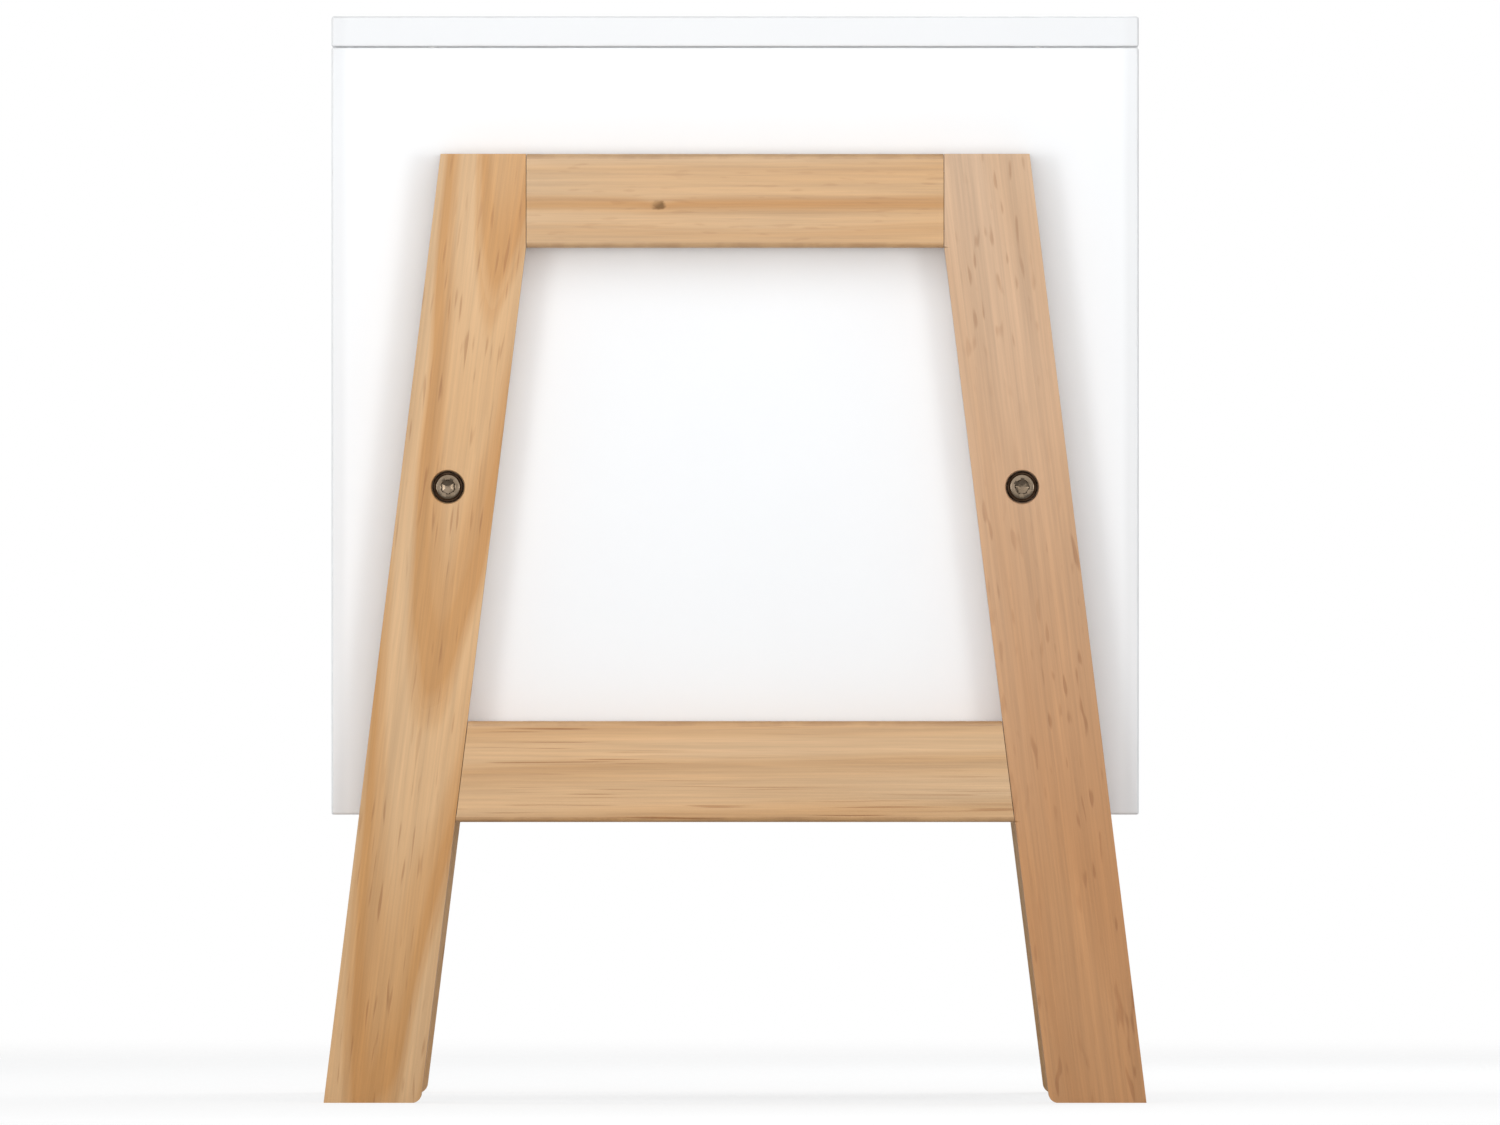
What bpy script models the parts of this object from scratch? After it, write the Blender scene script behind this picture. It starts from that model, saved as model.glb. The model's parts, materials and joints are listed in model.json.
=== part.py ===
"""A bedside cabinet carried on two A-shaped pine leg frames.

A white carcass, with one drawer over an open compartment, stands between two leg
frames. Each frame is two splayed legs with a top rail and a lower rail between them,
and it is bolted flat against a side panel. The drawer runs on roller runners.

The origin is on the floor under the middle of the object. X runs across the width,
Y along the depth with the front at -Y, and Z is up. Lengths are in metres.
"""
import math

import bmesh
import bpy
from mathutils import Matrix, Vector

# ---- Clearances and roundings
GAP = 0.0003                  # between pieces that rest on or pass through each other
OVERCUT = 0.004               # how far a cutter stands out of the face that it enters
EDGE_BREAK = 0.0006           # small flat on the edges of boards and fixings
TINY = 1e-5                   # lengths below this count as equal

# ---- Carcass
CABINET_WIDTH = 0.444         # across the outsides of the side panels
CABINET_DEPTH = 0.400
CABINET_HEIGHT = 0.3955
CABINET_UNDERSIDE = 0.1426    # above the floor
BOARD = 0.015
BACK_THICKNESS = 0.003
BACK_INSET = 0.008            # from the rear edges to the back panel
GROOVE_DEPTH = 0.006
DRAWER_OPENING = 0.150        # height between the top board and the shelf

# ---- Carcass fixings: cam locks with their bolts, and shelf pins
CAM_RADIUS = 0.0072
CAM_FLOOR = 0.0025            # wood left under a cam lock
CAM_SETBACK = 0.024           # from the joint to the cam lock's middle
CAM_INSET = 0.050             # from the front and rear edges
CAM_SLOT_LENGTH = 0.0090
CAM_SLOT_WIDTH = 0.0014
CAM_SLOT_DEPTH = 0.0012
CAM_BOLT_HEAD_RADIUS = 0.0032
CAM_BOLT_NECK_RADIUS = 0.0020
CAM_BOLT_RADIUS = 0.0032
CAM_BOLT_THREAD = 0.0110      # length screwed into the mating board
SHELF_PIN_RADIUS = 0.0025
SHELF_PIN_COLLAR_RADIUS = 0.0035
SHELF_PIN_COLLAR = 0.0012
SHELF_PIN_SHANK = 0.008
SHELF_PIN_PEG = 0.008
SHELF_PIN_INSET = 0.060       # from the shelf's front and rear edges

# ---- Leg frames
FRAME_HEIGHT = 0.4698
FOOT_SPREAD = 0.4074          # along Y over the outer edges of the feet
TOP_SPREAD = 0.2916           # along Y over the outer edges of the leg tops
LEG_WIDTH = 0.0476            # square to the leg
LEG_THICKNESS = 0.028
TOP_RAIL_HEIGHT = 0.0465
LOWER_RAIL_HEIGHT = 0.0500
LOWER_RAIL_UNDERSIDE = 0.1390
TENON_THICKNESS = 0.010
TENON_LENGTH = 0.020
TENON_SHOULDER = 0.009        # above and below a tenon
ARRIS = 0.0026                # rounding of the free edges
FOOT_ROUND = 0.005            # rounding of a foot's inner corner

# ---- Frame fixings: cap screw, washer and threaded insert
SCREW_HEIGHT = 0.3049         # above the floor
COUNTERBORE_DEPTH = 0.012
COUNTERBORE_RADIUS = 0.0082
SCREW_RADIUS = 0.004
SCREW_HOLE_RADIUS = 0.0045
SCREW_HEAD_RADIUS = 0.0065
SCREW_HEAD_HEIGHT = 0.008
SCREW_CHAMFER = 0.0008
SOCKET_ACROSS_FLATS = 0.006
SOCKET_DEPTH = 0.004
WASHER_RADIUS = 0.0075
WASHER_THICKNESS = 0.0016
WASHER_CHAMFER = 0.0003
INSERT_RADIUS = 0.006
INSERT_FLOOR = 0.0027         # wood left behind a threaded insert

# ---- Drawer
FRONT_CLEARANCE = 0.002       # around the drawer front
DRAWER_BOARD = 0.012
DRAWER_BOTTOM = 0.003
DRAWER_BOTTOM_LIFT = 0.010    # from the sides' lower edges to the bottom panel
DRAWER_GROOVE = 0.004
DRAWER_LIFT = 0.014           # from the shelf to the sides' lower edges
DRAWER_HEADROOM = 0.026       # from the sides' upper edges to the top board
DRAWER_REAR_CLEARANCE = 0.024
GRIP_WIDTH = 0.100            # finger grip in the drawer front's upper edge
GRIP_DEPTH = 0.022
GRIP_ROUND = 0.014

# ---- Roller runners
RUNNER_GAP = 0.0125           # between a drawer side and the side panel
RUNNER_STEEL = 0.0012
RUNNER_DROP = 0.002           # from the drawer sides' lower edges down to the track
RUNNER_SETBACK = 0.003        # from a runner's ends to the boards near them
ROLLER_RADIUS = 0.0095
ROLLER_INSET = 0.012          # from a runner's end to its roller's axis
ROLLER_PLAY = 0.0005          # beside and above a roller
ROLLER_CHAMFER = 0.0008
RIVET_RADIUS = 0.0025
RIVET_HEAD_RADIUS = 0.004
RIVET_HEAD = 0.0009
FLANGE_CLEARANCE = 0.0007     # from a flange's free edge to the web that it faces
DRAWER_SEAT = 0.010           # width of the flange under a drawer side

# ---- Worked out from the sizes above
HALF_WIDTH = CABINET_WIDTH / 2
HALF_DEPTH = CABINET_DEPTH / 2
INNER_HALF = HALF_WIDTH - BOARD
CABINET_TOP = CABINET_UNDERSIDE + CABINET_HEIGHT
CEILING = CABINET_TOP - BOARD
COMPARTMENT_FLOOR = CABINET_UNDERSIDE + BOARD
SHELF_TOP = CEILING - DRAWER_OPENING
SHELF_UNDERSIDE = SHELF_TOP - BOARD
BACK_FACE = HALF_DEPTH - BACK_INSET - BACK_THICKNESS
CAM_DEPTH = BOARD - CAM_FLOOR

SLOPE = (FOOT_SPREAD - TOP_SPREAD) / 2 / FRAME_HEIGHT
LEG_LEVEL_WIDTH = LEG_WIDTH / math.cos(math.atan(SLOPE))
SHOULDER = FRAME_HEIGHT - TOP_RAIL_HEIGHT
LOWER_RAIL_TOP = LOWER_RAIL_UNDERSIDE + LOWER_RAIL_HEIGHT
FRAME_INNER = HALF_WIDTH + GAP
FRAME_MIDDLE = FRAME_INNER + LEG_THICKNESS / 2
FRAME_OUTER = FRAME_INNER + LEG_THICKNESS
HEAD_SEAT = FRAME_OUTER - COUNTERBORE_DEPTH + WASHER_THICKNESS + 2 * GAP
INSERT_LENGTH = BOARD - INSERT_FLOOR - GAP
SCREW_LENGTH = HEAD_SEAT - HALF_WIDTH + INSERT_LENGTH - GAP

DRAWER_HALF = INNER_HALF - RUNNER_GAP
FRONT_BACK_FACE = BOARD - HALF_DEPTH
DRAWER_FRONT_END = FRONT_BACK_FACE + GAP
DRAWER_REAR_END = BACK_FACE - DRAWER_REAR_CLEARANCE
DRAWER_UNDERSIDE = SHELF_TOP + DRAWER_LIFT
DRAWER_TOP = CEILING - DRAWER_HEADROOM
BOTTOM_LOW = DRAWER_UNDERSIDE + DRAWER_BOTTOM_LIFT
BOTTOM_HIGH = BOTTOM_LOW + DRAWER_BOTTOM

TRACK = DRAWER_UNDERSIDE - RUNNER_DROP
CABINET_WEB = INNER_HALF - GAP - RUNNER_STEEL / 2
DRAWER_WEB = DRAWER_HALF + GAP + RUNNER_STEEL / 2
BETWEEN_WEBS = CABINET_WEB - DRAWER_WEB - RUNNER_STEEL
ROLLER_WIDTH = BETWEEN_WEBS - 2 * ROLLER_PLAY - GAP - RIVET_HEAD - 2 * FLANGE_CLEARANCE
ROLLER_BORE = RIVET_RADIUS + GAP
CABINET_ROLLER_AXIS = TRACK + ROLLER_PLAY + ROLLER_RADIUS
DRAWER_ROLLER_AXIS = TRACK + GAP + ROLLER_RADIUS
DRAWER_FLANGE = CABINET_ROLLER_AXIS + ROLLER_RADIUS + GAP + RUNNER_STEEL / 2
UPPER_FLANGE = DRAWER_FLANGE + ROLLER_PLAY + RUNNER_STEEL + GAP
RUNNER_FRONT = FRONT_BACK_FACE + RUNNER_SETBACK
CABINET_ROLLER_Y = RUNNER_FRONT + ROLLER_INSET
DRAWER_ROLLER_Y = DRAWER_REAR_END - ROLLER_INSET

SIDES = (("left", -1), ("right", 1))
ENDS = (("front", -1), ("back", 1))

# Colour, roughness and metallic value of each finish
FINISHES = {
    "white_board": ((0.88, 0.88, 0.88), 0.35, 0.0),
    "white_hardboard": ((0.85, 0.85, 0.84), 0.50, 0.0),
    "pine": ((0.60, 0.37, 0.19), 0.50, 0.0),
    "zinc_plated": ((0.62, 0.61, 0.58), 0.32, 1.0),
    "die_cast": ((0.50, 0.50, 0.50), 0.45, 1.0),
    "white_enamel": ((0.82, 0.82, 0.80), 0.40, 0.0),
    "nylon": ((0.80, 0.79, 0.74), 0.45, 0.0),
}


# ---- Scene, objects and modifiers

def clear_scene():
    """Remove the objects that the file starts with."""
    for leftover in list(bpy.data.objects):
        bpy.data.objects.remove(leftover, do_unlink=True)


def new_collection(name):
    collection = bpy.data.collections.new(name)
    bpy.context.scene.collection.children.link(collection)
    return collection


def new_material(name, finish):
    """A Principled material of the piece's own."""
    colour, roughness, metallic = FINISHES[finish]
    material = bpy.data.materials.new(name)
    material.use_nodes = True
    shader = material.node_tree.nodes["Principled BSDF"]
    shader.inputs["Base Color"].default_value = (*colour, 1.0)
    shader.inputs["Roughness"].default_value = roughness
    shader.inputs["Metallic"].default_value = metallic
    material.diffuse_color = (*colour, 1.0)
    return material


def add_piece(name, mesh, finish, matrix=None):
    """A sub-part in the parts collection. Copies of a piece share its mesh, so the
    material belongs to the object's slot."""
    piece = bpy.data.objects.new(name, mesh)
    parts.objects.link(piece)
    if not mesh.materials:
        mesh.materials.append(None)
    piece.material_slots[0].link = "OBJECT"
    piece.material_slots[0].material = new_material(name, finish)
    if matrix:
        piece.matrix_world = matrix
    return piece


def add_cutter(name, mesh, matrix=None):
    """A helper body in the cutters collection, left out of the part."""
    cutter = bpy.data.objects.new(name, mesh)
    cutters.objects.link(cutter)
    cutter.hide_render = True
    cutter.display_type = "WIRE"
    if matrix:
        cutter.matrix_world = matrix
    return cutter


def combine(piece, tool, operation="DIFFERENCE"):
    modifier = piece.modifiers.new(tool.name, "BOOLEAN")
    modifier.operation = operation
    modifier.solver = "EXACT"
    modifier.object = tool
    return piece


def break_edges(piece, width=EDGE_BREAK):
    modifier = piece.modifiers.new("edge_break", "BEVEL")
    modifier.width = width
    modifier.segments = 1
    modifier.limit_method = "ANGLE"
    return piece


def finished_mesh(piece):
    """The piece's mesh with its modifiers applied; the piece itself is removed."""
    depsgraph = bpy.context.evaluated_depsgraph_get()
    mesh = bpy.data.meshes.new_from_object(piece.evaluated_get(depsgraph))
    bpy.data.objects.remove(piece, do_unlink=True)
    return mesh


def mesh_from(name, bm):
    mesh = bpy.data.meshes.new(name)
    bm.to_mesh(mesh)
    bm.free()
    return mesh


def smooth(mesh):
    """Shade a round piece smooth, with its edges left sharp."""
    mesh.shade_smooth()
    mesh.set_sharp_from_angle(angle=math.radians(35))
    return mesh


# ---- Shapes

def along_x(side):
    """A turn that takes +Z to the outward direction of one side."""
    return Matrix.Rotation(side * math.pi / 2, 4, "Y")


def placed(position, turn=None):
    return Matrix.Translation(position) @ (turn or Matrix())


def block_mesh(name, size):
    bm = bmesh.new()
    bmesh.ops.create_cube(bm, size=1.0, matrix=Matrix.Diagonal((*size, 1.0)))
    return mesh_from(name, bm)


def board(name, low, high, finish="white_board"):
    """A rectangular board between two opposite corners, its edges broken."""
    low, high = Vector(low), Vector(high)
    mesh = block_mesh(name, high - low)
    piece = add_piece(name, mesh, finish, placed((low + high) / 2))
    return break_edges(piece, min(EDGE_BREAK, min(high - low) / 5))


def groove(piece, name, low, high):
    """Cut away the box between two opposite corners."""
    low, high = Vector(low), Vector(high)
    tool = add_cutter(name, block_mesh(name, high - low), placed((low + high) / 2))
    return combine(piece, tool)


def drill(piece, name, holes, radius, depth, sides=24):
    """Drill equal holes, each given as its mouth's centre and its inward direction."""
    bm = bmesh.new()
    for mouth, direction in holes:
        inward = Vector(direction)
        middle = Vector(mouth) + inward * (depth - OVERCUT) / 2
        turn = inward.to_track_quat("Z", "Y").to_matrix().to_4x4()
        bmesh.ops.create_cone(
            bm, cap_ends=True, segments=sides, radius1=radius, radius2=radius,
            depth=depth + OVERCUT, matrix=placed(middle, turn),
        )
    return combine(piece, add_cutter(name, mesh_from(name, bm)))


def turned(name, profile, steps=24, closed=False):
    """A turned body about Z, from (radius, height) points down its outer side."""
    mesh = bpy.data.meshes.new(name)
    points = [(radius, 0.0, height) for radius, height in profile]
    edges = [(i, i + 1) for i in range(len(points) - 1)]
    if closed:
        edges.append((len(points) - 1, 0))
    mesh.from_pydata(points, edges, [])
    body = bpy.data.objects.new(name, mesh)
    parts.objects.link(body)
    screw = body.modifiers.new("turn", "SCREW")
    screw.steps = screw.render_steps = steps
    screw.use_merge_vertices = True
    screw.merge_threshold = TINY
    return finished_mesh(body)


# ---- Leg frames

def outer_reach(height):
    """Distance along Y from the middle to a leg's outer edge."""
    return FOOT_SPREAD / 2 - height * SLOPE


def inner_reach(height):
    """Distance along Y from the middle to a leg's inner edge."""
    return outer_reach(height) - LEG_LEVEL_WIDTH


def is_free_arris(edge):
    """Whether an edge of a leg runs along its outline and clear of its joints."""
    a, b = (vert.co for vert in edge.verts)
    middle = (a + b) / 2
    if abs(a.x - b.x) > TINY:
        return False
    if abs(a.z - b.z) < TINY:
        return middle.z > FRAME_HEIGHT - TINY
    on_outer_edge = abs(abs(middle.y) - outer_reach(middle.z)) < TINY
    in_joint = LOWER_RAIL_UNDERSIDE < middle.z < LOWER_RAIL_TOP or middle.z > SHOULDER
    return on_outer_edge or not in_joint


def round_edges(bm, edges, radius, segments):
    bmesh.ops.bevel(
        bm, geom=edges, offset=radius, offset_type="OFFSET", segments=segments,
        profile=0.5, affect="EDGES", material=-1,
    )


def leg_mesh(name, end):
    """A splayed leg, level at the floor and the top, upright where the top rail meets it."""
    bm = bmesh.new()
    bmesh.ops.create_cube(bm, size=1.0)
    for vert in bm.verts:
        height = FRAME_HEIGHT if vert.co.z > 0 else 0.0
        reach = outer_reach(height) if vert.co.y * end > 0 else inner_reach(height)
        vert.co = (vert.co.x * LEG_THICKNESS, end * reach, height)
    for height in (LOWER_RAIL_UNDERSIDE, LOWER_RAIL_TOP, SHOULDER):
        everything = bm.verts[:] + bm.edges[:] + bm.faces[:]
        bmesh.ops.bisect_plane(
            bm, geom=everything, plane_co=(0, 0, height), plane_no=(0, 0, 1)
        )
    for vert in bm.verts:
        at_top = vert.co.z > FRAME_HEIGHT - TINY
        if at_top and abs(vert.co.y) < inner_reach(FRAME_HEIGHT) + TINY:
            vert.co.y = end * inner_reach(SHOULDER)
    foot = inner_reach(0.0)
    foot_corner = [
        edge for edge in bm.edges
        if all(v.co.z < TINY and abs(abs(v.co.y) - foot) < TINY for v in edge.verts)
    ]
    round_edges(bm, foot_corner, FOOT_ROUND, 4)
    round_edges(bm, [edge for edge in bm.edges if is_free_arris(edge)], ARRIS, 3)
    return smooth(mesh_from(name, bm))


def rail_mesh(name, low, high, reach_low, reach_high):
    """A rail's body, whose ends follow the legs' inner edges."""
    bm = bmesh.new()
    bmesh.ops.create_cube(bm, size=1.0)
    for vert in bm.verts:
        height, reach = (high, reach_high) if vert.co.z > 0 else (low, reach_low)
        vert.co = (vert.co.x * LEG_THICKNESS, math.copysign(reach, vert.co.y), height)
    long_edges = [
        edge for edge in bm.edges
        if abs(edge.verts[0].co.y - edge.verts[1].co.y) > LEG_THICKNESS
    ]
    round_edges(bm, long_edges, ARRIS, 3)
    return smooth(mesh_from(name, bm))


def mortise(leg, name, side, end, low, high, reach):
    """Cut the mortise that takes a rail's tenon into a leg."""
    half = TENON_THICKNESS / 2 + GAP
    ys = sorted((end * (reach - TENON_LENGTH), end * (reach + TENON_LENGTH + GAP)))
    groove(
        leg, name,
        (side * FRAME_MIDDLE - half, ys[0], low + TENON_SHOULDER - GAP),
        (side * FRAME_MIDDLE + half, ys[1], high - TENON_SHOULDER + GAP),
    )


def make_leg(side_name, side, end_name, end):
    name = f"leg_{end_name}_{side_name}"
    leg = add_piece(name, leg_mesh(name, end), "pine", placed((side * FRAME_MIDDLE, 0, 0)))
    mortise(leg, name + "_upper_mortise", side, end, SHOULDER, FRAME_HEIGHT,
            inner_reach(SHOULDER))
    mortise(leg, name + "_lower_mortise", side, end, LOWER_RAIL_UNDERSIDE, LOWER_RAIL_TOP,
            inner_reach((LOWER_RAIL_UNDERSIDE + LOWER_RAIL_TOP) / 2))
    hole = [((side * FRAME_OUTER, end * screw_reach(), SCREW_HEIGHT), (-side, 0, 0))]
    drill(leg, name + "_counterbore", hole, COUNTERBORE_RADIUS, COUNTERBORE_DEPTH, sides=32)
    drill(leg, name + "_screw_hole", hole, SCREW_HOLE_RADIUS, LEG_THICKNESS + OVERCUT)


def make_rail(name, side, low, high, reach_low, reach_high):
    """A rail with a tenon on each end."""
    body = rail_mesh(name, low, high, reach_low - GAP, reach_high - GAP)
    rail = add_piece(name, body, "pine", placed((side * FRAME_MIDDLE, 0, 0)))
    tip = (reach_low + reach_high) / 2 + TENON_LENGTH
    size = (TENON_THICKNESS, 2 * tip, high - low - 2 * TENON_SHOULDER)
    middle = (side * FRAME_MIDDLE, 0, (low + high) / 2)
    tenons = add_cutter(name + "_tenons", block_mesh(name + "_tenons", size), placed(middle))
    combine(rail, tenons, "UNION")


def make_leg_frames():
    square = inner_reach(SHOULDER)
    for side_name, side in SIDES:
        for end_name, end in ENDS:
            make_leg(side_name, side, end_name, end)
        make_rail(f"top_rail_{side_name}", side, SHOULDER, FRAME_HEIGHT, square, square)
        make_rail(
            f"lower_rail_{side_name}", side, LOWER_RAIL_UNDERSIDE, LOWER_RAIL_TOP,
            inner_reach(LOWER_RAIL_UNDERSIDE), inner_reach(LOWER_RAIL_TOP),
        )


# ---- Frame fixings

def screw_reach():
    """Distance along Y from the middle to the screws, on the legs' middle lines."""
    return (outer_reach(SCREW_HEIGHT) + inner_reach(SCREW_HEIGHT)) / 2


def cap_screw_mesh():
    """A socket cap screw along Z, with the underside of its head at height 0."""
    c = SCREW_CHAMFER
    mesh = turned("cap_screw", [
        (0.0, SCREW_HEAD_HEIGHT),
        (SCREW_HEAD_RADIUS - c, SCREW_HEAD_HEIGHT),
        (SCREW_HEAD_RADIUS, SCREW_HEAD_HEIGHT - c),
        (SCREW_HEAD_RADIUS, 0.0),
        (SCREW_RADIUS, 0.0),
        (SCREW_RADIUS, c - SCREW_LENGTH),
        (SCREW_RADIUS - c, -SCREW_LENGTH),
        (0.0, -SCREW_LENGTH),
    ])
    body = bpy.data.objects.new("cap_screw", mesh)
    parts.objects.link(body)
    bm = bmesh.new()
    corner = SOCKET_ACROSS_FLATS / 2 / math.cos(math.pi / 6)
    bmesh.ops.create_cone(
        bm, cap_ends=True, segments=6, radius1=corner, radius2=corner,
        depth=SOCKET_DEPTH + OVERCUT,
    )
    lift = SCREW_HEAD_HEIGHT + (OVERCUT - SOCKET_DEPTH) / 2
    socket = add_cutter("hex_socket", mesh_from("hex_socket", bm), placed((0, 0, lift)))
    return smooth(finished_mesh(combine(body, socket)))


def ring_mesh(name, outer, inner, height, chamfer, steps=24):
    """A ring about Z, from height 0 upwards, with its outer edges chamfered."""
    return smooth(turned(name, [
        (inner, height),
        (outer - chamfer, height),
        (outer, height - chamfer),
        (outer, chamfer),
        (outer - chamfer, 0.0),
        (inner, 0.0),
    ], steps, closed=True))


def make_frame_fixings():
    screw = cap_screw_mesh()
    bore = SCREW_RADIUS + GAP
    washer = ring_mesh("washer", WASHER_RADIUS, bore, WASHER_THICKNESS, WASHER_CHAMFER)
    insert = ring_mesh("insert", INSERT_RADIUS, bore, INSERT_LENGTH, EDGE_BREAK)
    for side_name, side in SIDES:
        for end_name, end in ENDS:
            tag = f"{end_name}_{side_name}"
            y = end * screw_reach()
            seat = (side * HEAD_SEAT, y, SCREW_HEIGHT)
            under_head = (side * (HEAD_SEAT - GAP - WASHER_THICKNESS), y, SCREW_HEIGHT)
            insert_end = (side * (HALF_WIDTH - GAP - INSERT_LENGTH), y, SCREW_HEIGHT)
            turn = along_x(side)
            add_piece(f"cap_screw_{tag}", screw, "zinc_plated", placed(seat, turn))
            add_piece(f"washer_{tag}", washer, "zinc_plated", placed(under_head, turn))
            add_piece(f"insert_{tag}", insert, "zinc_plated", placed(insert_end, turn))


# ---- Carcass

def make_side_panel(side_name, side):
    name = f"side_{side_name}"
    xs = sorted((side * INNER_HALF, side * HALF_WIDTH))
    panel = board(
        name, (xs[0], -HALF_DEPTH, CABINET_UNDERSIDE), (xs[1], HALF_DEPTH, CEILING - GAP)
    )
    slot = sorted((side * (INNER_HALF - OVERCUT), side * (INNER_HALF + GROOVE_DEPTH)))
    groove(panel, name + "_back_groove",
           (slot[0], BACK_FACE - GAP, COMPARTMENT_FLOOR - GROOVE_DEPTH),
           (slot[1], BACK_FACE + BACK_THICKNESS + GAP, CEILING + OVERCUT))
    outside, inside = side * HALF_WIDTH, side * INNER_HALF
    inward, outward = (-side, 0, 0), (side, 0, 0)
    drill(panel, name + "_insert_holes",
          [((outside, end * screw_reach(), SCREW_HEIGHT), inward) for _, end in ENDS],
          INSERT_RADIUS + GAP, INSERT_LENGTH + 2 * GAP)
    drill(panel, name + "_cam_bores",
          [((inside, y, CEILING - CAM_SETBACK), outward) for y in cam_places()],
          CAM_RADIUS + GAP, CAM_DEPTH)
    drill(panel, name + "_cam_channels",
          [((side * (INNER_HALF + BOARD / 2), y, CEILING), (0, 0, -1)) for y in cam_places()],
          CAM_BOLT_RADIUS + GAP, CAM_SETBACK, sides=16)
    drill(panel, name + "_cam_bolt_holes",
          [((inside, y, CABINET_UNDERSIDE + BOARD / 2), outward) for y in cam_places()],
          CAM_BOLT_RADIUS + GAP, CAM_BOLT_THREAD + GAP, sides=16)
    drill(panel, name + "_pin_holes",
          [((inside, y, shelf_pin_height()), outward) for y in shelf_pin_places()],
          SHELF_PIN_RADIUS + GAP, SHELF_PIN_SHANK + GAP, sides=16)


def make_top_board():
    top = board("top_board", (-HALF_WIDTH, -HALF_DEPTH, CEILING),
                (HALF_WIDTH, HALF_DEPTH, CABINET_TOP))
    groove(top, "top_back_groove",
           (-INNER_HALF - GROOVE_DEPTH, BACK_FACE - GAP, CEILING - OVERCUT),
           (INNER_HALF + GROOVE_DEPTH, BACK_FACE + BACK_THICKNESS + GAP,
            CEILING + GROOVE_DEPTH))
    middle = INNER_HALF + BOARD / 2
    drill(top, "top_cam_bolt_holes",
          [((side * middle, y, CEILING), (0, 0, 1)) for _, side in SIDES for y in cam_places()],
          CAM_BOLT_RADIUS + GAP, CAM_BOLT_THREAD + GAP, sides=16)


def make_bottom_board():
    edge = INNER_HALF - GAP
    bottom = board("bottom_board", (-edge, -HALF_DEPTH, CABINET_UNDERSIDE),
                   (edge, HALF_DEPTH, COMPARTMENT_FLOOR))
    groove(bottom, "bottom_back_groove",
           (-INNER_HALF - OVERCUT, BACK_FACE - GAP, COMPARTMENT_FLOOR - GROOVE_DEPTH),
           (INNER_HALF + OVERCUT, BACK_FACE + BACK_THICKNESS + GAP,
            COMPARTMENT_FLOOR + OVERCUT))
    places = [(side, y) for _, side in SIDES for y in cam_places()]
    drill(bottom, "bottom_cam_bores",
          [((side * (INNER_HALF - CAM_SETBACK), y, CABINET_UNDERSIDE), (0, 0, 1))
           for side, y in places],
          CAM_RADIUS + GAP, CAM_DEPTH)
    drill(bottom, "bottom_cam_channels",
          [((side * INNER_HALF, y, CABINET_UNDERSIDE + BOARD / 2), (-side, 0, 0))
           for side, y in places],
          CAM_BOLT_RADIUS + GAP, CAM_SETBACK, sides=16)


def make_shelf_and_back():
    edge = INNER_HALF - GAP
    board("shelf", (-edge, -HALF_DEPTH, SHELF_UNDERSIDE), (edge, BACK_FACE - GAP, SHELF_TOP))
    reach = INNER_HALF + GROOVE_DEPTH - GAP
    board("back_panel",
          (-reach, BACK_FACE, COMPARTMENT_FLOOR - GROOVE_DEPTH + GAP),
          (reach, BACK_FACE + BACK_THICKNESS, CEILING + GROOVE_DEPTH - GAP),
          "white_hardboard")


# ---- Carcass fixings

def cam_places():
    return [end * (HALF_DEPTH - CAM_INSET) for _, end in ENDS]


def shelf_pin_places():
    return [-HALF_DEPTH + SHELF_PIN_INSET, BACK_FACE - SHELF_PIN_INSET]


def shelf_pin_height():
    return SHELF_UNDERSIDE - GAP - SHELF_PIN_COLLAR_RADIUS


def cam_mesh():
    """A cam lock with its face at height 0 and its bolt entering along +X."""
    bm = bmesh.new()
    height = CAM_DEPTH - 2 * GAP
    bmesh.ops.create_cone(
        bm, cap_ends=True, segments=32, radius1=CAM_RADIUS, radius2=CAM_RADIUS,
        depth=height, matrix=placed((0, 0, -height / 2)),
    )
    body = bpy.data.objects.new("cam_lock", mesh_from("cam_lock", bm))
    parts.objects.link(body)
    inward, clearance = (-1, 0, 0), CAM_BOLT_HEAD_RADIUS + GAP
    drill(body, "cam_pocket", [((CAM_RADIUS, 0, GAP - BOARD / 2), inward)], clearance,
          CAM_RADIUS + CAM_BOLT_HEAD_RADIUS, sides=16)
    long, short = CAM_SLOT_LENGTH / 2, CAM_SLOT_WIDTH / 2
    groove(body, "cam_slot", (-long, -short, -CAM_SLOT_DEPTH), (long, short, OVERCUT))
    groove(body, "cam_cross_slot", (-short, -long, -CAM_SLOT_DEPTH), (short, long, OVERCUT))
    return smooth(finished_mesh(body))


def cam_bolt_mesh():
    """A cam bolt along Z: the joint is at height 0, its thread above, its head below."""
    head = -CAM_SETBACK
    round_off = CAM_BOLT_HEAD_RADIUS / 2
    return smooth(turned("cam_bolt", [
        (0.0, CAM_BOLT_THREAD),
        (CAM_BOLT_RADIUS - SCREW_CHAMFER, CAM_BOLT_THREAD),
        (CAM_BOLT_RADIUS, CAM_BOLT_THREAD - SCREW_CHAMFER),
        (CAM_BOLT_RADIUS, head + 3 * CAM_BOLT_HEAD_RADIUS),
        (CAM_BOLT_NECK_RADIUS, head + 2.5 * CAM_BOLT_HEAD_RADIUS),
        (CAM_BOLT_NECK_RADIUS, head + CAM_BOLT_HEAD_RADIUS),
        (CAM_BOLT_HEAD_RADIUS, head + round_off),
        (CAM_BOLT_HEAD_RADIUS, head - round_off),
        (round_off, head - CAM_BOLT_HEAD_RADIUS + GAP),
        (0.0, head - CAM_BOLT_HEAD_RADIUS + GAP),
    ], steps=16))


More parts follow.
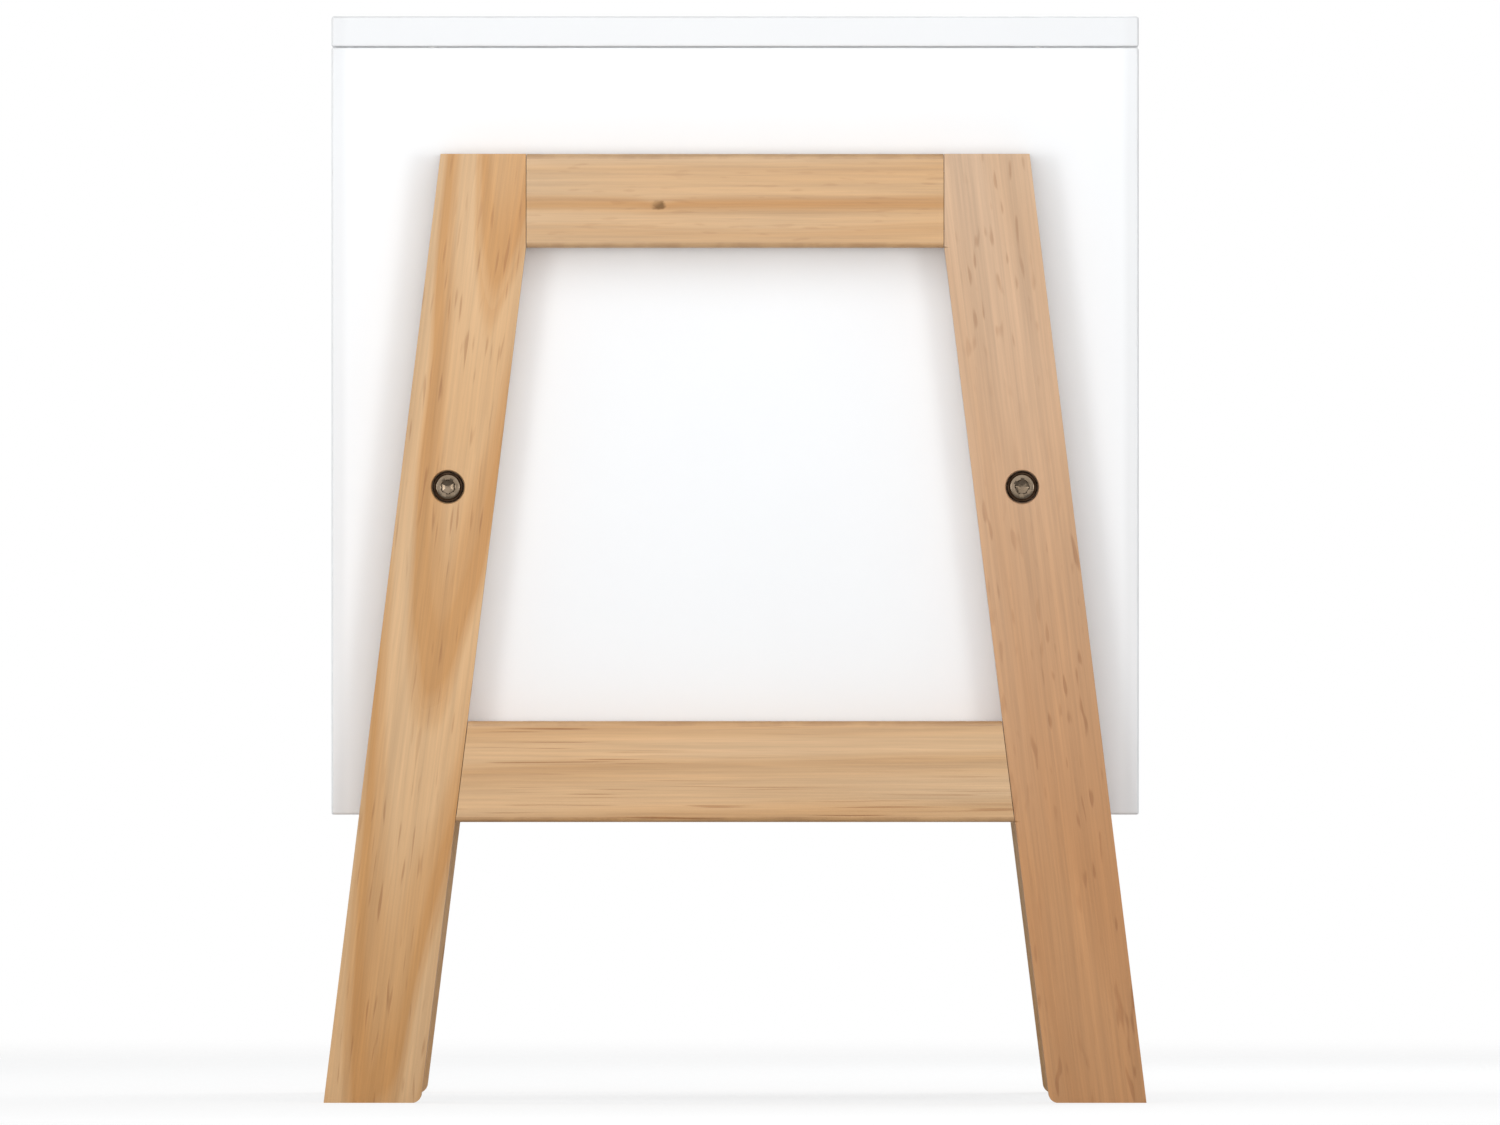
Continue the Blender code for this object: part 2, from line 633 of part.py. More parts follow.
def shelf_pin_mesh():
    """A shelf pin along Z: the panel's face is at height 0 and its peg is above."""
    collar = SHELF_PIN_COLLAR + GAP
    return smooth(turned("shelf_pin", [
        (0.0, collar + SHELF_PIN_PEG),
        (SHELF_PIN_RADIUS, collar + SHELF_PIN_PEG),
        (SHELF_PIN_RADIUS, collar),
        (SHELF_PIN_COLLAR_RADIUS, collar),
        (SHELF_PIN_COLLAR_RADIUS, GAP),
        (SHELF_PIN_RADIUS, GAP),
        (SHELF_PIN_RADIUS, -SHELF_PIN_SHANK),
        (0.0, -SHELF_PIN_SHANK),
    ], steps=16))


def make_carcass_fixings():
    cam, bolt, pin = cam_mesh(), cam_bolt_mesh(), shelf_pin_mesh()
    down = Matrix.Rotation(math.pi, 4, "X")
    for side_name, side in SIDES:
        middle = side * (INNER_HALF + BOARD / 2)
        for (end_name, _), y in zip(ENDS, cam_places()):
            tag = f"{end_name}_{side_name}"
            face = side * (INNER_HALF + GAP)
            # the cam's face looks into the cabinet and its bolt comes down from the top board
            look_in = Matrix.Rotation(-side * math.pi / 2, 4, "Y")
            upward = look_in if side > 0 else look_in @ Matrix.Rotation(math.pi, 4, "Z")
            add_piece(f"top_cam_{tag}", cam, "die_cast",
                      placed((face, y, CEILING - CAM_SETBACK), upward))
            add_piece(f"top_cam_bolt_{tag}", bolt, "zinc_plated", placed((middle, y, CEILING)))
            to_side = Matrix.Rotation(math.pi / 2 * (1 - side), 4, "Z")
            add_piece(f"bottom_cam_{tag}", cam, "die_cast",
                      placed((side * (INNER_HALF - CAM_SETBACK), y, CABINET_UNDERSIDE + GAP),
                             to_side @ down))
            add_piece(f"bottom_cam_bolt_{tag}", bolt, "zinc_plated",
                      placed((side * INNER_HALF, y, CABINET_UNDERSIDE + BOARD / 2),
                             along_x(side)))
        for (end_name, _), y in zip(ENDS, shelf_pin_places()):
            add_piece(f"shelf_pin_{end_name}_{side_name}", pin, "zinc_plated",
                      placed((side * INNER_HALF, y, shelf_pin_height()), along_x(-side)))


# ---- Drawer

def ride_on_drawer(piece):
    """Parent a piece to the drawer's empty, where it already stands."""
    piece.parent = drawer_slide
    piece.matrix_parent_inverse = Matrix.Translation(drawer_slide.location).inverted()


def make_drawer_front():
    half = INNER_HALF - FRONT_CLEARANCE
    low, high = SHELF_TOP + FRONT_CLEARANCE, CEILING - FRONT_CLEARANCE
    front = board("drawer_front", (-half, -HALF_DEPTH, low), (half, FRONT_BACK_FACE, high))
    bm = bmesh.new()
    size = (GRIP_WIDTH, BOARD + 2 * OVERCUT, 2 * GRIP_DEPTH)
    bmesh.ops.create_cube(bm, size=1.0, matrix=Matrix.Diagonal((*size, 1.0)))
    corners = [e for e in bm.edges if abs(e.verts[0].co.y - e.verts[1].co.y) > TINY]
    round_edges(bm, corners, GRIP_ROUND, 6)
    middle = (0, (FRONT_BACK_FACE - HALF_DEPTH) / 2, high)
    combine(front, add_cutter("finger_grip", mesh_from("finger_grip", bm), placed(middle)))
    slot = DRAWER_HALF - DRAWER_BOARD + DRAWER_GROOVE
    groove(front, "front_bottom_groove",
           (-slot, FRONT_BACK_FACE - DRAWER_GROOVE, BOTTOM_LOW - GAP),
           (slot, FRONT_BACK_FACE + OVERCUT, BOTTOM_HIGH + GAP))
    return front


def make_drawer_side(side_name, side):
    inner = DRAWER_HALF - DRAWER_BOARD
    xs = sorted((side * inner, side * DRAWER_HALF))
    panel = board(f"drawer_side_{side_name}", (xs[0], DRAWER_FRONT_END, DRAWER_UNDERSIDE),
                  (xs[1], DRAWER_REAR_END, DRAWER_TOP))
    slot = sorted((side * (inner - OVERCUT), side * (inner + DRAWER_GROOVE)))
    groove(panel, f"drawer_side_{side_name}_groove",
           (slot[0], DRAWER_FRONT_END - OVERCUT, BOTTOM_LOW - GAP),
           (slot[1], DRAWER_REAR_END + OVERCUT, BOTTOM_HIGH + GAP))
    return panel


def make_drawer():
    inner = DRAWER_HALF - DRAWER_BOARD
    reach = inner + DRAWER_GROOVE - GAP
    pieces = [make_drawer_front()]
    pieces += [make_drawer_side(*which) for which in SIDES]
    # the back stands on the bottom panel, which slides in under it
    pieces.append(board(
        "drawer_back",
        (GAP - inner, DRAWER_REAR_END - DRAWER_BOARD, BOTTOM_HIGH + GAP),
        (inner - GAP, DRAWER_REAR_END, DRAWER_TOP),
    ))
    pieces.append(board(
        "drawer_bottom",
        (-reach, FRONT_BACK_FACE - DRAWER_GROOVE + GAP, BOTTOM_LOW),
        (reach, DRAWER_REAR_END, BOTTOM_HIGH),
        "white_hardboard",
    ))
    for piece in pieces:
        ride_on_drawer(piece)


# ---- Roller runners

def bent_section(name, corners, front, rear):
    """A bent steel section along Y, from the (x, z) corners of its middle line."""
    bm = bmesh.new()
    verts = [bm.verts.new((x, front, z)) for x, z in corners]
    edges = [bm.edges.new(pair) for pair in zip(verts, verts[1:])]
    grown = bmesh.ops.extrude_edge_only(bm, edges=edges)
    moved = [item for item in grown["geom"] if isinstance(item, bmesh.types.BMVert)]
    bmesh.ops.translate(bm, verts=moved, vec=(0, rear - front, 0))
    section = add_piece(name, mesh_from(name, bm), "white_enamel")
    wall = section.modifiers.new("steel", "SOLIDIFY")
    wall.thickness = RUNNER_STEEL
    wall.offset = 0.0
    wall.use_even_offset = True
    return section


def rivet_mesh():
    """A roller's rivet along Z, from a web's middle plane to the rivet's head."""
    under_head = RUNNER_STEEL / 2 + 2 * ROLLER_PLAY + ROLLER_WIDTH
    return turned("rivet", [
        (0.0, under_head + RIVET_HEAD),
        (RIVET_HEAD_RADIUS, under_head + RIVET_HEAD),
        (RIVET_HEAD_RADIUS, under_head),
        (RIVET_RADIUS, under_head),
        (RIVET_RADIUS, 0.0),
        (0.0, 0.0),
    ])


def make_runners():
    rivet = rivet_mesh()
    roller = ring_mesh("roller", ROLLER_RADIUS, ROLLER_BORE, ROLLER_WIDTH, ROLLER_CHAMFER,
                       steps=32)
    roller.transform(Matrix.Translation((0, 0, -ROLLER_WIDTH / 2)))
    to_roller = RUNNER_STEEL / 2 + ROLLER_PLAY + ROLLER_WIDTH / 2
    lower_reach = DRAWER_WEB + RUNNER_STEEL / 2 + FLANGE_CLEARANCE
    upper_reach = CABINET_WEB - RUNNER_STEEL / 2 - FLANGE_CLEARANCE
    track = TRACK - RUNNER_STEEL / 2
    seat = DRAWER_UNDERSIDE - GAP - RUNNER_STEEL / 2
    for side_name, side in SIDES:
        fixed = bent_section(f"cabinet_runner_{side_name}", [
            (side * lower_reach, track),
            (side * CABINET_WEB, track),
            (side * CABINET_WEB, UPPER_FLANGE),
            (side * (CABINET_WEB - RUNNER_STEEL - ROLLER_WIDTH / 2), UPPER_FLANGE),
        ], RUNNER_FRONT, DRAWER_REAR_END)
        fixed_axis = (side * CABINET_WEB, CABINET_ROLLER_Y, CABINET_ROLLER_AXIS)
        combine(fixed, add_cutter(f"cabinet_rivet_{side_name}", rivet,
                                  placed(fixed_axis, along_x(-side))), "UNION")
        add_piece(f"cabinet_roller_{side_name}", roller, "nylon",
                  placed((side * (CABINET_WEB - to_roller), *fixed_axis[1:]), along_x(1)))

        moving = bent_section(f"drawer_runner_{side_name}", [
            (side * upper_reach, DRAWER_FLANGE),
            (side * DRAWER_WEB, DRAWER_FLANGE),
            (side * DRAWER_WEB, seat),
            (side * (DRAWER_WEB - DRAWER_SEAT), seat),
        ], RUNNER_FRONT, DRAWER_REAR_END)
        moving_axis = (side * DRAWER_WEB, DRAWER_ROLLER_Y, DRAWER_ROLLER_AXIS)
        combine(moving, add_cutter(f"drawer_rivet_{side_name}", rivet,
                                   placed(moving_axis, along_x(side))), "UNION")
        ride_on_drawer(moving)
        wheel = add_piece(
            f"drawer_roller_{side_name}", roller, "nylon",
            placed((side * (DRAWER_WEB + to_roller), *moving_axis[1:]), along_x(1)),
        )
        ride_on_drawer(wheel)


clear_scene()
parts = new_collection("bedside_cabinet")
cutters = new_collection("cutters")
drawer_slide = bpy.data.objects.new("drawer_slide", None)
drawer_slide.location = (0, -HALF_DEPTH, DRAWER_UNDERSIDE)
parts.objects.link(drawer_slide)

make_leg_frames()
make_frame_fixings()
for which_side in SIDES:
    make_side_panel(*which_side)
make_top_board()
make_bottom_board()
make_shelf_and_back()
make_carcass_fixings()
make_drawer()
make_runners()
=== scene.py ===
"""The looks of the bedside cabinet on pine leg frames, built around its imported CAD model.

Lengths are in metres. +X is the cabinet's right-hand side, -Y its front and +Z up.
"""

import json
import math

import bmesh
import bpy
from bpy.props import FloatProperty, FloatVectorProperty, IntProperty, PointerProperty
from mathutils import Matrix, Vector

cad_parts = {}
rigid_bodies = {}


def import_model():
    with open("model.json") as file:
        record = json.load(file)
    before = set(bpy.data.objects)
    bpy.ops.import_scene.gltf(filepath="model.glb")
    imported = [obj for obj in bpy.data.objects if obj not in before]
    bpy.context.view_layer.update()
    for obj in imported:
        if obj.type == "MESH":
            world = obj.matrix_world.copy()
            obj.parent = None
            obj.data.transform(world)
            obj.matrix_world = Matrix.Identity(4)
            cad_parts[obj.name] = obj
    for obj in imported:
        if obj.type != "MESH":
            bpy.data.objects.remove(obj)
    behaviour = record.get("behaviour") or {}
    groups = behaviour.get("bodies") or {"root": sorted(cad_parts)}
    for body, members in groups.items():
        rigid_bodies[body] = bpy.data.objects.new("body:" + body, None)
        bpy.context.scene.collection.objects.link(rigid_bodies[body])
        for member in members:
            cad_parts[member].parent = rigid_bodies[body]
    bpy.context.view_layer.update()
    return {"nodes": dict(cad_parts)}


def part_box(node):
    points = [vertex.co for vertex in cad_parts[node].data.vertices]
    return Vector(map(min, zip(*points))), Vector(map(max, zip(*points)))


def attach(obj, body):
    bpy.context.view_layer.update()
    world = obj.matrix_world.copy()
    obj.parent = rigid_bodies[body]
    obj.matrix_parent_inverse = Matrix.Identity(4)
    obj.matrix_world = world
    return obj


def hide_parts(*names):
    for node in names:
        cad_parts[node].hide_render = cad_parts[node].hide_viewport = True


bl_info = {
    "name": "Bedside cabinet",
    "version": (1, 0, 0),
    "blender": (4, 5, 0),
    "location": "View3D > Sidebar > Bedside",
    "description": "Builds the pine frames, boards, drawer, fixings and stage of a bedside cabinet",
    "category": "Object",
}

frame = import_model()

SIDES = (("left", -1), ("right", 1))
ENDS = (("front", -1), ("back", 1))
TAGS = [(f"{end}_{side}", b, a) for side, a in SIDES for end, b in ENDS]

GAP = 0.0003                  # between pieces that rest on or pass through each other
OVERCUT = 0.004               # how far a cutter stands out of the face that it enters
TINY = 1e-5
SHARP = math.radians(38)      # edges turned by more than this are shaded sharp
FLAT = 0.9995                 # cosine past which a face counts as square to a direction
BORE_STEPS = 48               # faces round a bored hole
PIN_STEPS = 24                # faces round a hole for a pin or a bolt
AXES = (Vector((1, 0, 0)), Vector((0, 1, 0)), Vector((0, 0, 1)))

# The leg frames
LEG_LOW, LEG_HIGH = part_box("leg_front_right")
RAIL_LOW, RAIL_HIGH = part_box("lower_rail_right")
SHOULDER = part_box("top_rail_right")[0].z
FRAME_HEIGHT = LEG_HIGH.z
LEG_THICKNESS = LEG_HIGH.x - LEG_LOW.x
FRAME_MIDDLE = (LEG_HIGH.x + LEG_LOW.x) / 2
FOOT_REACH = -LEG_LOW.y       # from the middle to a leg's outer edge at its foot
TOP_REACH = 0.1458            # the same at the frame's top
SLOPE = (FOOT_REACH - TOP_REACH) / FRAME_HEIGHT
LEAN = math.atan(SLOPE)
LEG_WIDTH = 0.0476            # square to the leg's length
LEG_LEVEL_WIDTH = LEG_WIDTH / math.cos(LEAN)
TENON_THICKNESS = 0.010
TENON_LENGTH = 0.020
TENON_SHOULDER = 0.009
FOOT_ROUND = 0.005
RUN_OUT = 0.0015              # length over which a leg's rounded arris dies out at a joint
COUNTERBORE_RADIUS = 0.0082
COUNTERBORE_DEPTH = 0.012
SCREW_HOLE_RADIUS = 0.0045

# The screws, along Z from the underside of the head
HEAD_HEIGHT = 0.008
HEAD_RADIUS = 0.0065
SHANK_RADIUS = 0.004
SHANK_CHAMFER = 0.0008
SOCKET_APOTHEM = 0.003
SOCKET_DEPTH = 0.004
DRILL_POINT = 0.0011          # depth of the cone at the socket's bottom
KNURL_DEPTH = 0.00014
KNURL_START, KNURL_END = 0.0005, 0.0008   # plain bands below the knurl and above it


# ---- Settings that a user would change

class TimberSettings(bpy.types.PropertyGroup):
    """Sizes and colours of the pine leg frames."""
    arris: FloatProperty(
        name="Arris", description="Rounding of the frames' free edges",
        default=0.0026, min=0.0005, max=0.006, unit="LENGTH")
    arris_steps: IntProperty(
        name="Arris steps", description="Faces across one rounded edge", default=6, min=2, max=12)
    bore_rim: FloatProperty(
        name="Bore rim", description="Chamfer at the mouth of each screw recess",
        default=0.0004, min=0.0, max=0.0015, unit="LENGTH")
    ring_spacing: FloatProperty(
        name="Ring spacing", description="Distance between the growth rings",
        default=0.0052, min=0.001, max=0.02, unit="LENGTH")
    early: FloatVectorProperty(
        name="Early wood", description="Colour of the pale wood between the rings",
        default=(0.640, 0.418, 0.238), min=0.0, max=1.0, subtype="COLOR")
    late: FloatVectorProperty(
        name="Late wood", description="Colour of the growth rings",
        default=(0.520, 0.270, 0.095), min=0.0, max=1.0, subtype="COLOR")
    knot: FloatVectorProperty(
        name="Knot", description="Colour of a knot's core",
        default=(0.175, 0.070, 0.001), min=0.0, max=1.0, subtype="COLOR")


class BoardSettings(bpy.types.PropertyGroup):
    """Edges and lacquer of the white boards."""
    rounding: FloatProperty(
        name="Rounding", description="Rounding of the cabinet boards' edges",
        default=0.0011, min=0.0003, max=0.004, unit="LENGTH")
    rounding_steps: IntProperty(
        name="Rounding steps", description="Faces across one rounded edge",
        default=4, min=1, max=8)
    lacquer: FloatVectorProperty(
        name="Lacquer", description="Colour of the lacquered boards",
        default=(0.853, 0.864, 0.876), min=0.0, max=1.0, subtype="COLOR")
    hardboard: FloatVectorProperty(
        name="Hardboard", description="Colour of the coated hardboard",
        default=(0.850, 0.848, 0.840), min=0.0, max=1.0, subtype="COLOR")


class FixingSettings(bpy.types.PropertyGroup):
    """Finishes of the metal and plastic fittings."""
    turning_steps: IntProperty(
        name="Turning steps", description="Faces round one turned piece", default=96,
        min=24, max=192)
    screws: FloatVectorProperty(
        name="Screws", description="Colour of the darker plating on the cap screws",
        default=(0.150, 0.115, 0.082), min=0.0, max=1.0, subtype="COLOR")
    # the washers' very dark brown is painted shade for the shadow deep in the screw recess, over
    # their plating
    washers: FloatVectorProperty(
        name="Washers", description="Colour of the browner plating on the washers",
        default=(0.060, 0.036, 0.022), min=0.0, max=1.0, subtype="COLOR")
    zinc: FloatVectorProperty(
        name="Zinc", description="Colour of the plated steel",
        default=(0.560, 0.545, 0.520), min=0.0, max=1.0, subtype="COLOR")
    die_cast: FloatVectorProperty(
        name="Die-cast metal", description="Colour of the cam locks",
        default=(0.470, 0.470, 0.475), min=0.0, max=1.0, subtype="COLOR")
    enamel: FloatVectorProperty(
        name="Enamel", description="Colour of the runners",
        default=(0.800, 0.800, 0.785), min=0.0, max=1.0, subtype="COLOR")
    nylon: FloatVectorProperty(
        name="Nylon", description="Colour of the rollers",
        default=(0.780, 0.770, 0.725), min=0.0, max=1.0, subtype="COLOR")


class StageSettings(bpy.types.PropertyGroup):
    """Floor, lights and camera."""
    floor_radius: FloatProperty(
        name="Floor radius", description="Radius at which the floor has faded out",
        default=3.6, min=1.0, max=10.0, unit="LENGTH")
    floor_colour: FloatVectorProperty(
        name="Floor", description="Colour of the floor", default=(0.92, 0.92, 0.92),
        min=0.0, max=1.0, subtype="COLOR")
    floor_bounce: FloatProperty(
        name="Floor bounce", description="How much light the floor throws back at the cabinet",
        default=0.56, min=0.0, max=1.0, subtype="FACTOR")
    floor_glow: FloatProperty(
        name="Floor glow", description="How far the floor's shadows are lifted towards white",
        default=0.76, min=0.0, max=1.0, subtype="FACTOR")
    surround: FloatProperty(
        name="Surround", description="Strength of the even light from all round",
        default=0.46, min=0.0, max=3.0)
    key_power: FloatProperty(
        name="Key light", description="Power of the light above the right-hand leg frame",
        default=6.25, min=0.0, max=500.0, unit="POWER")
    level_power: FloatProperty(
        name="Level lights", description="Power of each distant light at the frame's own height",
        default=44.0, min=0.0, max=500.0, unit="POWER")
    front_power: FloatProperty(
        name="Front light", description="Power of the light before the drawer",
        default=9.0, min=0.0, max=500.0, unit="POWER")
    fill_power: FloatProperty(
        name="Fill light", description="Power of the light on the far side",
        default=14.0, min=0.0, max=500.0, unit="POWER")
    view_width: FloatProperty(
        name="View width", description="Width that the camera takes in, at the near frame",
        default=0.7425, min=0.1, max=5.0, unit="LENGTH")
    lens: FloatProperty(
        name="Lens", description="Focal length of the camera, in millimetres",
        default=1200.0, min=50.0, max=1200.0)


# ---- Meshes

def turn_to_side(side):
    """A turn that takes +Z to the outward direction of one side."""
    return Matrix.Rotation(side * math.pi / 2, 4, "Y")


def round_edges(bm, edges, radius, steps):
    """Round edges over a number of faces."""
    bmesh.ops.bevel(
        bm, geom=edges, offset=radius, offset_type="OFFSET", segments=steps,
        profile=0.5, affect="EDGES", material=-1, clamp_overlap=True,
    )


def block(bm, low, high):
    """Add a box between two opposite corners and return its vertices."""
    low, high = Vector(low), Vector(high)
    place = Matrix.Translation((low + high) / 2) @ Matrix.Diagonal((*(high - low), 1.0))
    return bmesh.ops.create_cube(bm, size=1.0, matrix=place)["verts"]


def revolve(bm, profile, steps, closed=False):
    """Add a body turned about Z from (radius, height) points, and return its vertices."""
    points = [bm.verts.new((radius, 0.0, height)) for radius, height in profile]
    pairs = list(zip(points, points[1:] + ([points[0]] if closed else [])))
    edges = [bm.edges.new(pair) for pair in pairs]
    before = set(bm.verts) - set(points)
    bmesh.ops.spin(
        bm, geom=points + edges, axis=(0, 0, 1), cent=(0, 0, 0), angle=2 * math.pi,
        steps=steps, use_merge=True,
    )
    grown = [vert for vert in bm.verts if vert not in before]
    bmesh.ops.remove_doubles(bm, verts=grown, dist=TINY / 10)
    bmesh.ops.recalc_face_normals(bm, faces=bm.faces[:])
    return [vert for vert in bm.verts if vert not in before]


def slice_body(bm, place, normal):
    """Run an edge loop round a body where a plane meets it."""
    bmesh.ops.bisect_plane(bm, geom=bm.verts[:] + bm.edges[:] + bm.faces[:],
                           plane_co=place, plane_no=normal)


def bore(bm, start, end, radius, steps=BORE_STEPS):
    """Add a cylinder between two points, to cut with."""
    start, end = Vector(start), Vector(end)
    along = end - start
    turn = along.to_track_quat("Z", "Y").to_matrix().to_4x4()
    bmesh.ops.create_cone(
        bm, cap_ends=True, segments=steps, radius1=radius, radius2=radius,
        depth=along.length, matrix=Matrix.Translation((start + end) / 2) @ turn,
    )


def mesh_from(name, bm):
    """A new mesh from a bmesh, which is freed."""
    mesh = bpy.data.meshes.new(name)
    bm.to_mesh(mesh)
    bm.free()
    return mesh


def carve(mesh, cutter):
    """The mesh with the cutter's bodies taken out of it."""
    scene = bpy.context.scene.collection.objects
    body = bpy.data.objects.new("body", mesh)
    tool = bpy.data.objects.new("tool", mesh_from("tool", cutter))
    scene.link(body)
    scene.link(tool)
    cut = body.modifiers.new("cut", "BOOLEAN")
    cut.operation, cut.solver, cut.object = "DIFFERENCE", "EXACT", tool
    depsgraph = bpy.context.evaluated_depsgraph_get()
    carved = bpy.data.meshes.new_from_object(body.evaluated_get(depsgraph))
    carved.name = mesh.name
    bpy.data.objects.remove(body, do_unlink=True)
    bpy.data.objects.remove(tool, do_unlink=True)
    if not carved.polygons:
        raise RuntimeError(f"{mesh.name} was cut away whole")
    return carved


def mark_arrises(mesh, flat_directions):
    """Give each face the value 1 in "arris" unless it lies square to one of the directions."""
    values = [
        0.0 if max(abs(face.normal.dot(d)) for d in flat_directions) > FLAT else 1.0
        for face in mesh.polygons
    ]
    mesh.attributes.new("arris", "FLOAT", "FACE").data.foreach_set("value", values)


def place_piece(name, mesh, material, body, slot, *nodes):
    """Link a finished piece that rides on a body and stands for CAD nodes."""
    mesh.name = name
    mesh.materials.clear()
    mesh.materials.append(material)
    mesh.shade_smooth()
    mesh.set_sharp_from_angle(angle=SHARP)
    piece = bpy.data.objects.new(name, mesh)
    bpy.context.scene.collection.objects.link(piece)
    even = piece.modifiers.new("even shading", "WEIGHTED_NORMAL")
    even.keep_sharp = True
    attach(piece, body)
    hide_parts(*nodes)


def repaint(node, material):
    """Give a CAD node that stays in view a better material."""
    piece = frame["nodes"][node]
    if not piece.material_slots:
        raise RuntimeError(f"{node} has no material slot")
    for slot in piece.material_slots:
        slot.material = material


# ---- Materials

class Net:
    """Short words for adding and joining the nodes of one tree."""

    def __init__(self, tree):
        self.tree = tree
        self.count = 0

    def node(self, kind, **settings):
        node = self.tree.nodes.new(kind)
        node.location = (self.count % 8 * 200, -(self.count // 8) * 260)
        self.count += 1
        for name, value in settings.items():
            setattr(node, name, value)
        return node

    def feed(self, socket, value):
        """Join a socket to another one, or set its value."""
        if isinstance(value, bpy.types.NodeSocket):
            self.tree.links.new(value, socket)
        elif value is not None:
            if socket.type == "RGBA" and len(value) == 3:
                value = (*value, 1.0)
            socket.default_value = value

    def math(self, operation, a, b=None, clamp=False):
        node = self.node("ShaderNodeMath", operation=operation, use_clamp=clamp)
        self.feed(node.inputs[0], a)
        self.feed(node.inputs[1], b)
        return node.outputs[0]

    def vector_math(self, operation, a, b=None):
        node = self.node("ShaderNodeVectorMath", operation=operation)
        self.feed(node.inputs[0], a)
        self.feed(node.inputs["Scale" if operation == "SCALE" else 1], b)
        return node.outputs["Value" if operation in ("LENGTH", "DOT_PRODUCT") else "Vector"]

    def split(self, vector):
        node = self.node("ShaderNodeSeparateXYZ")
        self.feed(node.inputs[0], vector)
        return node.outputs

    def mix(self, factor, a, b, blend="MIX"):
        node = self.node("ShaderNodeMix", data_type="RGBA", blend_type=blend)
        for index, value in ((0, factor), (6, a), (7, b)):
            self.feed(node.inputs[index], value)
        return node.outputs[2]

    def tint(self, factor, a, b):
        """A colour multiplied by another one."""
        return self.mix(factor, a, b, "MULTIPLY")

    def remap(self, value, low, high, to_low=0.0, to_high=1.0, smooth=False):
        node = self.node("ShaderNodeMapRange")
        node.interpolation_type = "SMOOTHSTEP" if smooth else "LINEAR"
        for index, item in enumerate((value, low, high, to_low, to_high)):
            self.feed(node.inputs[index], item)
        return node.outputs[0]

    def ramp(self, value, stops):
        """Greys that ease from one (position, grey) stop to the next."""
        node = self.node("ShaderNodeValToRGB")
        node.color_ramp.interpolation = "EASE"
        elements = node.color_ramp.elements
        while len(elements) < len(stops):
            elements.new(1.0)
        for element, (position, grey) in zip(elements, stops):
            element.position = position
            element.color = (grey, grey, grey, 1.0)
        self.feed(node.inputs[0], value)
        return node.outputs[0]

    def noise(self, vector, scale, detail=2.0, seed=0.0, roughness=0.5):
        """Noise from 0 to 1 with its own number of cells per metre along each axis."""
        node = self.node("ShaderNodeTexNoise", noise_dimensions="4D")
        self.feed(node.inputs["Vector"], self.vector_math("MULTIPLY", vector, scale))
        for name, value in (("Scale", 1.0), ("Detail", detail), ("W", seed),
                            ("Roughness", roughness)):
            self.feed(node.inputs[name], value)
        return node.outputs[0]

    def wobble(self, vector, scale, detail, seed):
        """Noise from -0.5 to 0.5."""
        return self.math("SUBTRACT", self.noise(vector, scale, detail, seed), 0.5)

    def bell(self, value, rate):
        """1 where the value is 0, falling to 0 on both sides."""
        square = self.math("MULTIPLY", value, value)
        return self.math("EXPONENT", self.math("MULTIPLY", square, -rate))


GROUPS = {}
SOCKETS = {"vector": "NodeSocketVector", "value": "NodeSocketFloat", "colour": "NodeSocketColor"}


def new_group(name, inputs, outputs):
    """An empty node group with named sockets, as (tree, net, input sockets, output node)."""
    tree = bpy.data.node_groups.new(name, "ShaderNodeTree")
    for label, kind, default in inputs:
        socket = tree.interface.new_socket(label, in_out="INPUT", socket_type=SOCKETS[kind])
        if default is not None:
            socket.default_value = (*default, 1.0) if kind == "colour" else default
    for label, kind in outputs:
        tree.interface.new_socket(label, in_out="OUTPUT", socket_type=SOCKETS[kind])
    net = Net(tree)
    entry = net.node("NodeGroupInput")
    leave = net.node("NodeGroupOutput")
    leave.location = (1800, 0)
    return tree, net, entry.outputs, leave.inputs


# Cells per metre of the pine's patterns, across and along the grain
DRIFT_CELLS = (11, 11, 2.6)
RIPPLE_CELLS = (70, 70, 9)
TONE_CELLS = (17, 17, 3.4)
STREAK_CELLS = (190, 190, 5)
FIBRE_CELLS = (760, 760, 15)
PATCH_CELLS = (26, 26, 8)
WAVER_CELLS = (420, 420, 260)

# What the wood's colour is multiplied by in its warmer and darker places, and by painted shade
# towards the foot
WARM_TONE = (1.0, 0.90, 0.74)
FOOT_SHADE_TONE = (0.87, 0.64, 0.40)
STAIN_TONE = (0.92, 0.77, 0.50)
FLECK_TONE = (0.54, 0.38, 0.22)

# How dark one growth ring is, from its inner to its outer side
RING_PROFILE = ((0.0, 0.50), (0.12, 0.04), (0.38, 0.10), (0.66, 0.60), (0.88, 1.0), (1.0, 0.50))
ACROSS = (1, 1, 0)            # the directions across the grain
KNOT_SHAPE = (0, 1, 0.6)      # a knot is longer along the grain
KNOT_SLANT = (0.0, 0.7, 0.5)  # the direction in which a knot's core darkens


